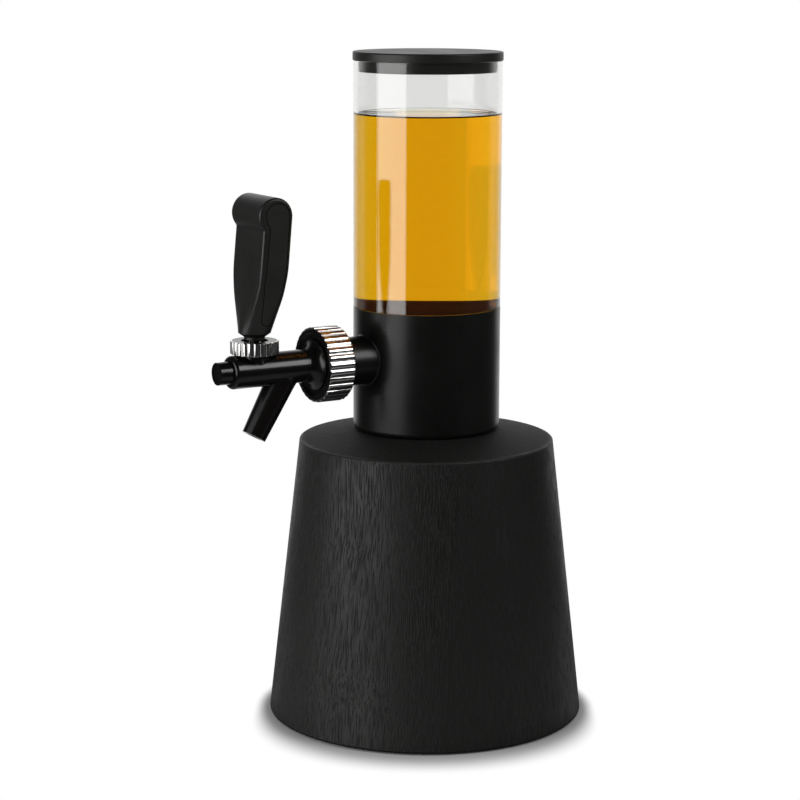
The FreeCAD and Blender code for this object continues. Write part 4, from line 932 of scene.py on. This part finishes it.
@dataclass
class Lever:
    """The lever's bonnet, stem and handle."""

    core_radius: float = 13.9
    core_bore: float = 9.45
    opening: float = 8.5
    lip_top: float = 2.3
    lip_floor: float = 0.8
    cup: float = 5.1
    band_gap: float = 0.05
    edge: float = 0.3
    ribs: int = 24
    flute: float = 0.6
    crown: float = 0.36
    bevel: float = 0.4
    flare_height: float = 40.5
    ease_reach: float = 13.0
    ease_cut: float = 0.05

    def build_bonnet(self, pivot: Vector) -> None:
        """Build the bonnet's black core and its ribbed chrome band.

        Args:
            pivot: The lever's pivot.
        """
        low, high = node_box("bonnet_core")
        base, top = low.z - pivot.z, high.z - pivot.z
        cup = [(math.sqrt(self.cup ** 2 - height ** 2), height) for height in
               (self.lip_top, (self.lip_top + self.lip_floor) / 2, self.lip_floor)]
        outline = soften([
            (self.core_bore, base, BREAK), (self.core_radius, base, self.edge),
            (self.core_radius, top, self.edge), (self.opening, top, self.edge),
            (self.opening, self.lip_top, FILLET), (*cup[0], 0), (*cup[1], 0), (*cup[2], 0),
            (self.core_bore, self.lip_floor, 0)])
        place = Matrix.Translation(pivot)
        finish_piece("bonnet_shell", lathe(outline, MEDIUM), TAP_BLACK, Body.BONNET, ["bonnet_core"], place)
        low, high = node_box("bonnet_sleeve")
        band = RibbedBand(self.ribs, self.core_radius + self.band_gap, high.x, low.z - pivot.z,
                          high.z - pivot.z, self.bevel, self.bevel, self.flute, self.crown)
        finish_piece("bonnet_chrome_band", band.build(CHROME), CHROME, Body.BONNET, ["bonnet_sleeve"], place)

    def build(self) -> None:
        """Build the lever."""
        pivot = joint_place("lever_tilt")
        self.build_bonnet(pivot)
        finish_piece("stem", skin_of("lever_stem"), TURNED_STEEL, Body.LEVER, ["lever_stem"])
        pieces = {"handle_grip": ("grip", HANDLE_BLACK),
                  "handle_panel_left": ("side_panel_left", PANEL_BLACK),
                  "handle_panel_right": ("side_panel_right", PANEL_BLACK)}
        for node, (name, finish) in pieces.items():
            mesh = skin_of(node)
            ease_corner(mesh, pivot, pivot.z + self.flare_height, self.ease_reach, self.ease_cut)
            finish_piece(name, mesh, finish, Body.LEVER, [node])
        dress(BRASS, "handle_insert")


# ---- studio

@dataclass(frozen=True)
class SoftBox:
    """A soft box that faces the middle of the object."""

    name: str
    azimuth: float
    rise: float
    distance: float
    width: float
    height: float
    radiance: float  # of its face, where the background's is 1
    seen_through: bool  # whether it shows through clear pieces


# The broad key on the tap's side, which draws the tall strips on the tube and the socket.
LEFT_BOX = SoftBox("left_box", -1.0, 4.0, 1500, 1430, 1080, 2.75, seen_through=False)
# The narrow fill from above on the right, which draws the tap's upper highlights.
RIGHT_BOX = SoftBox("right_box", 121.0, 31.0, 1600, 520, 760, 5.0, seen_through=True)


@dataclass
class Studio:
    """The floor, the world, the soft boxes and the camera."""

    azimuth: float = 58.0
    distance: float = 1530.17
    eye_height: float = 494.43
    pitch: float = 0.1855
    yaw: float = -0.0112
    roll: float = -0.0031
    lens: float = 107.47
    sensor: float = 36.0
    clips: Point = (50.0, 60000.0)
    middle: float = 250.0
    floor_radius: float = 9000.0
    shadow_start: float = 104.0  # the radius to which the shadow is full
    shadow_beside: float = 114.0  # and those at which it is gone
    shadow_ahead: float = 139.0
    floor_white: float = 0.8
    paper: float = 0.65  # the floor's white where it is seen, as a share of the background's
    table_reach: float = 600.0
    table_fade: float = 0.6
    table_glow: float = 0.25
    room_light: float = 0.3
    dark_side: float = 0.03
    backdrop_edge: float = 0.62
    backdrop_core: float = 0.97
    backdrop_spread: float = 0.3  # how much wider it shows in clear pieces
    through_spread: float = 1.7  # and how much wider yet, straight through them
    card_azimuth: float = 150.0
    card_edge: float = 0.7
    card_core: float = 0.9
    card_glow: float = 0.05
    box_edge: float = 0.9
    box_core: float = 0.905

    def heading(self, degrees: float, rise: float = 0.0) -> Vector:
        """Give the direction from the object to an azimuth and an elevation."""
        turn, up = math.radians(degrees), math.radians(rise)
        return Vector((math.sin(turn) * math.cos(up), -math.cos(turn) * math.cos(up), math.sin(up)))

    def build_camera(self) -> None:
        """Set the camera on its stand."""
        turn = math.radians(self.azimuth)
        across = Vector((math.cos(turn), math.sin(turn), 0))
        ahead = Vector((-math.sin(turn), math.cos(turn), 0))
        right = math.cos(self.yaw) * across - math.sin(self.yaw) * ahead
        level = math.sin(self.yaw) * across + math.cos(self.yaw) * ahead
        forward = math.cos(self.pitch) * level - math.sin(self.pitch) * UP
        up = math.sin(self.pitch) * level + math.cos(self.pitch) * UP
        right, up = (math.cos(self.roll) * right - math.sin(self.roll) * up,
                     math.sin(self.roll) * right + math.cos(self.roll) * up)
        data = bpy.data.cameras.new("studio_camera")
        data.lens, data.sensor_width = self.lens, self.sensor
        data.clip_start, data.clip_end = self.clips[0] * MM, self.clips[1] * MM
        camera = show("studio_camera", data)
        turnings = Matrix((right, up, -forward)).transposed().to_4x4()
        spot = UP * self.eye_height - ahead * self.distance
        camera.matrix_world = Matrix.Translation(spot * MM) @ turnings
        bpy.context.scene.camera = camera

    def surround(self, tree: Tree, towards: Union[Node, Socket]) -> Node:
        """Say how bright gloss and clear pieces see the room: a backdrop, a grey card and a dark front.

        Args:
            tree: The tree that gets the nodes.
            towards: What gives the direction that is seen.

        Returns:
            The node that gives the brightness.
        """
        behind = add_node(tree, "ShaderNodeVectorMath", {
            0: towards, 1: -self.heading(self.azimuth)}, operation="DOT_PRODUCT")
        path = add_node(tree, "ShaderNodeLightPath")
        clear = path.outputs["Is Transmission Ray"]
        widened = add_node(tree, "ShaderNodeMath", {0: clear, 1: self.backdrop_spread, 2: behind},
                           operation="MULTIPLY_ADD")
        straight = add_node(tree, "ShaderNodeMath", {0: path.outputs["Glossy Depth"], 1: 0.5},
                            operation="LESS_THAN")
        through = add_node(tree, "ShaderNodeMath", {0: clear, 1: straight}, operation="MULTIPLY")
        bounced = add_node(tree, "ShaderNodeMath", {0: clear, 1: through}, operation="SUBTRACT")
        widened = add_node(tree, "ShaderNodeMath", {0: through, 1: self.through_spread, 2: widened},
                           operation="MULTIPLY_ADD")
        backdrop = add_node(tree, "ShaderNodeMapRange", {
            "Value": widened, "From Min": self.backdrop_edge, "From Max": self.backdrop_core,
            "To Min": self.dark_side}, interpolation_type="SMOOTHSTEP")
        beside = add_node(tree, "ShaderNodeVectorMath", {
            0: towards, 1: self.heading(self.card_azimuth)}, operation="DOT_PRODUCT")
        card = add_node(tree, "ShaderNodeMapRange", {
            "Value": beside, "From Min": self.card_edge, "From Max": self.card_core,
            "To Max": self.card_glow}, interpolation_type="SMOOTHSTEP")
        room = add_node(tree, "ShaderNodeMath", {0: backdrop, 1: card}, operation="MAXIMUM")
        # The left box shows in the clear pieces' inner walls, but not straight through them, where it would
        # burn a yellow patch into the beer. A lamp can't tell the two apart, so the room shows it instead.
        ahead = add_node(tree, "ShaderNodeVectorMath", {
            0: towards, 1: self.heading(LEFT_BOX.azimuth)}, operation="DOT_PRODUCT")
        face = add_node(tree, "ShaderNodeMapRange", {
            "Value": ahead, "From Min": self.box_edge, "From Max": self.box_core,
            "To Max": LEFT_BOX.radiance})
        return add_node(tree, "ShaderNodeMath", {0: face, 1: bounced, 2: room}, operation="MULTIPLY_ADD")

    @staticmethod
    def gloss_or_clear(tree: Tree, path: Node) -> Node:
        """Give 1 where a reflection or a clear piece sees the room, and else 0."""
        return add_node(tree, "ShaderNodeMath", {
            0: path.outputs["Is Glossy Ray"], 1: path.outputs["Is Transmission Ray"]},
            operation="MAXIMUM")

    def build_world(self) -> None:
        """Light the room evenly, with a white surround that darkens on the camera's side in gloss."""
        world = bpy.data.worlds.new("studio")
        bpy.context.scene.world = world
        tree = clear_tree(world)
        path = add_node(tree, "ShaderNodeLightPath")
        where = add_node(tree, "ShaderNodeTexCoord")
        shown = add_node(tree, "ShaderNodeMix", {
            0: self.gloss_or_clear(tree, path), 2: self.room_light,
            3: self.surround(tree, where.outputs["Generated"])}, data_type="FLOAT")
        level = add_node(tree, "ShaderNodeMath", {
            0: shown, 1: path.outputs["Is Camera Ray"]}, operation="MAXIMUM")
        light = add_node(tree, "ShaderNodeBackground", {"Color": (1, 1, 1, 1), "Strength": level})
        add_node(tree, "ShaderNodeOutputWorld", {"Surface": light})

    def build_floor(self) -> None:
        """Lay a white floor that keeps the object's shadow."""
        shape = bmesh.new()
        bmesh.ops.create_circle(shape, cap_ends=True, segments=96, radius=self.floor_radius * MM)
        mesh = settle(shape, bpy.data.meshes.new("floor"))
        material = bpy.data.materials.new("white_sweep")
        tree = clear_tree(material)
        path = add_node(tree, "ShaderNodeLightPath")
        where = add_node(tree, "ShaderNodeNewGeometry").outputs["Position"]
        reach = add_node(tree, "ShaderNodeVectorMath", {0: where}, operation="LENGTH")
        towards = add_node(tree, "ShaderNodeVectorMath", {0: where}, operation="NORMALIZE")
        ahead = add_node(tree, "ShaderNodeVectorMath", {
            0: towards, 1: self.heading(self.azimuth)}, operation="DOT_PRODUCT")
        edge = add_node(tree, "ShaderNodeMapRange", {
            "Value": ahead, "To Min": self.shadow_beside * MM, "To Max": self.shadow_ahead * MM},
            interpolation_type="SMOOTHSTEP")
        clear = add_node(tree, "ShaderNodeMapRange", {
            "Value": reach, "From Min": self.shadow_start * MM, "From Max": edge},
            interpolation_type="SMOOTHSTEP")
        shown = add_node(tree, "ShaderNodeMath", {
            0: self.gloss_or_clear(tree, path), 1: path.outputs["Is Camera Ray"]}, operation="MAXIMUM")
        table = add_node(tree, "ShaderNodeMapRange", {
            "Value": reach, "From Min": self.table_reach * self.table_fade * MM,
            "From Max": self.table_reach * MM, "To Min": self.table_glow, "To Max": 0.0})
        around = add_node(tree, "ShaderNodeMath", {0: self.surround(tree, towards), 1: table},
                          operation="MAXIMUM")
        level = add_node(tree, "ShaderNodeMath", {
            0: around, 1: path.outputs["Is Camera Ray"]}, operation="MAXIMUM")
        glow = add_node(tree, "ShaderNodeMath", {0: clear, 1: shown}, operation="MULTIPLY")
        bright = add_node(tree, "ShaderNodeMath", {0: level, 1: self.paper}, operation="MULTIPLY")
        tone = add_node(tree, "ShaderNodeMix", {0: shown, 2: self.floor_white, 3: bright}, data_type="FLOAT")
        paper = add_node(tree, "ShaderNodeBsdfDiffuse", {"Color": tone})
        sweep = add_node(tree, "ShaderNodeEmission", {"Strength": level})
        joined = add_node(tree, "ShaderNodeMixShader", {0: glow, 1: paper, 2: sweep})
        add_node(tree, "ShaderNodeOutputMaterial", {"Surface": joined})
        mesh.materials.append(material)
        floor = show("floor", mesh)

    def hang(self, box: SoftBox) -> None:
        """Hang a soft box so that it faces the middle of the object."""
        width, height = box.width * MM, box.height * MM
        data = bpy.data.lights.new(box.name, "AREA")
        data.shape, data.size, data.size_y = "RECTANGLE", width, height
        data.energy = box.radiance * math.pi * width * height
        lamp = show(box.name, data)
        aim = UP * self.middle
        spot = aim + self.heading(box.azimuth, box.rise) * box.distance
        lamp.matrix_world = Matrix.Translation(spot * MM) @ (
            (spot - aim).to_track_quat("Z", "Y").to_matrix().to_4x4())
        lamp.visible_camera = False
        lamp.visible_transmission = box.seen_through

    def build(self) -> None:
        """Build the whole studio."""
        self.build_floor()
        self.build_world()
        self.build_camera()
        self.hang(LEFT_BOX)
        self.hang(RIGHT_BOX)
        bpy.context.scene.view_settings.view_transform = "Standard"


def main() -> None:
    logging.basicConfig(level=logging.INFO, format="%(name)s %(message)s")
    for assembly in (Block(), Vessel(), Lid(), Tap(), Lever(), Studio()):
        assembly.build()


if __name__ == "__main__":
    main()
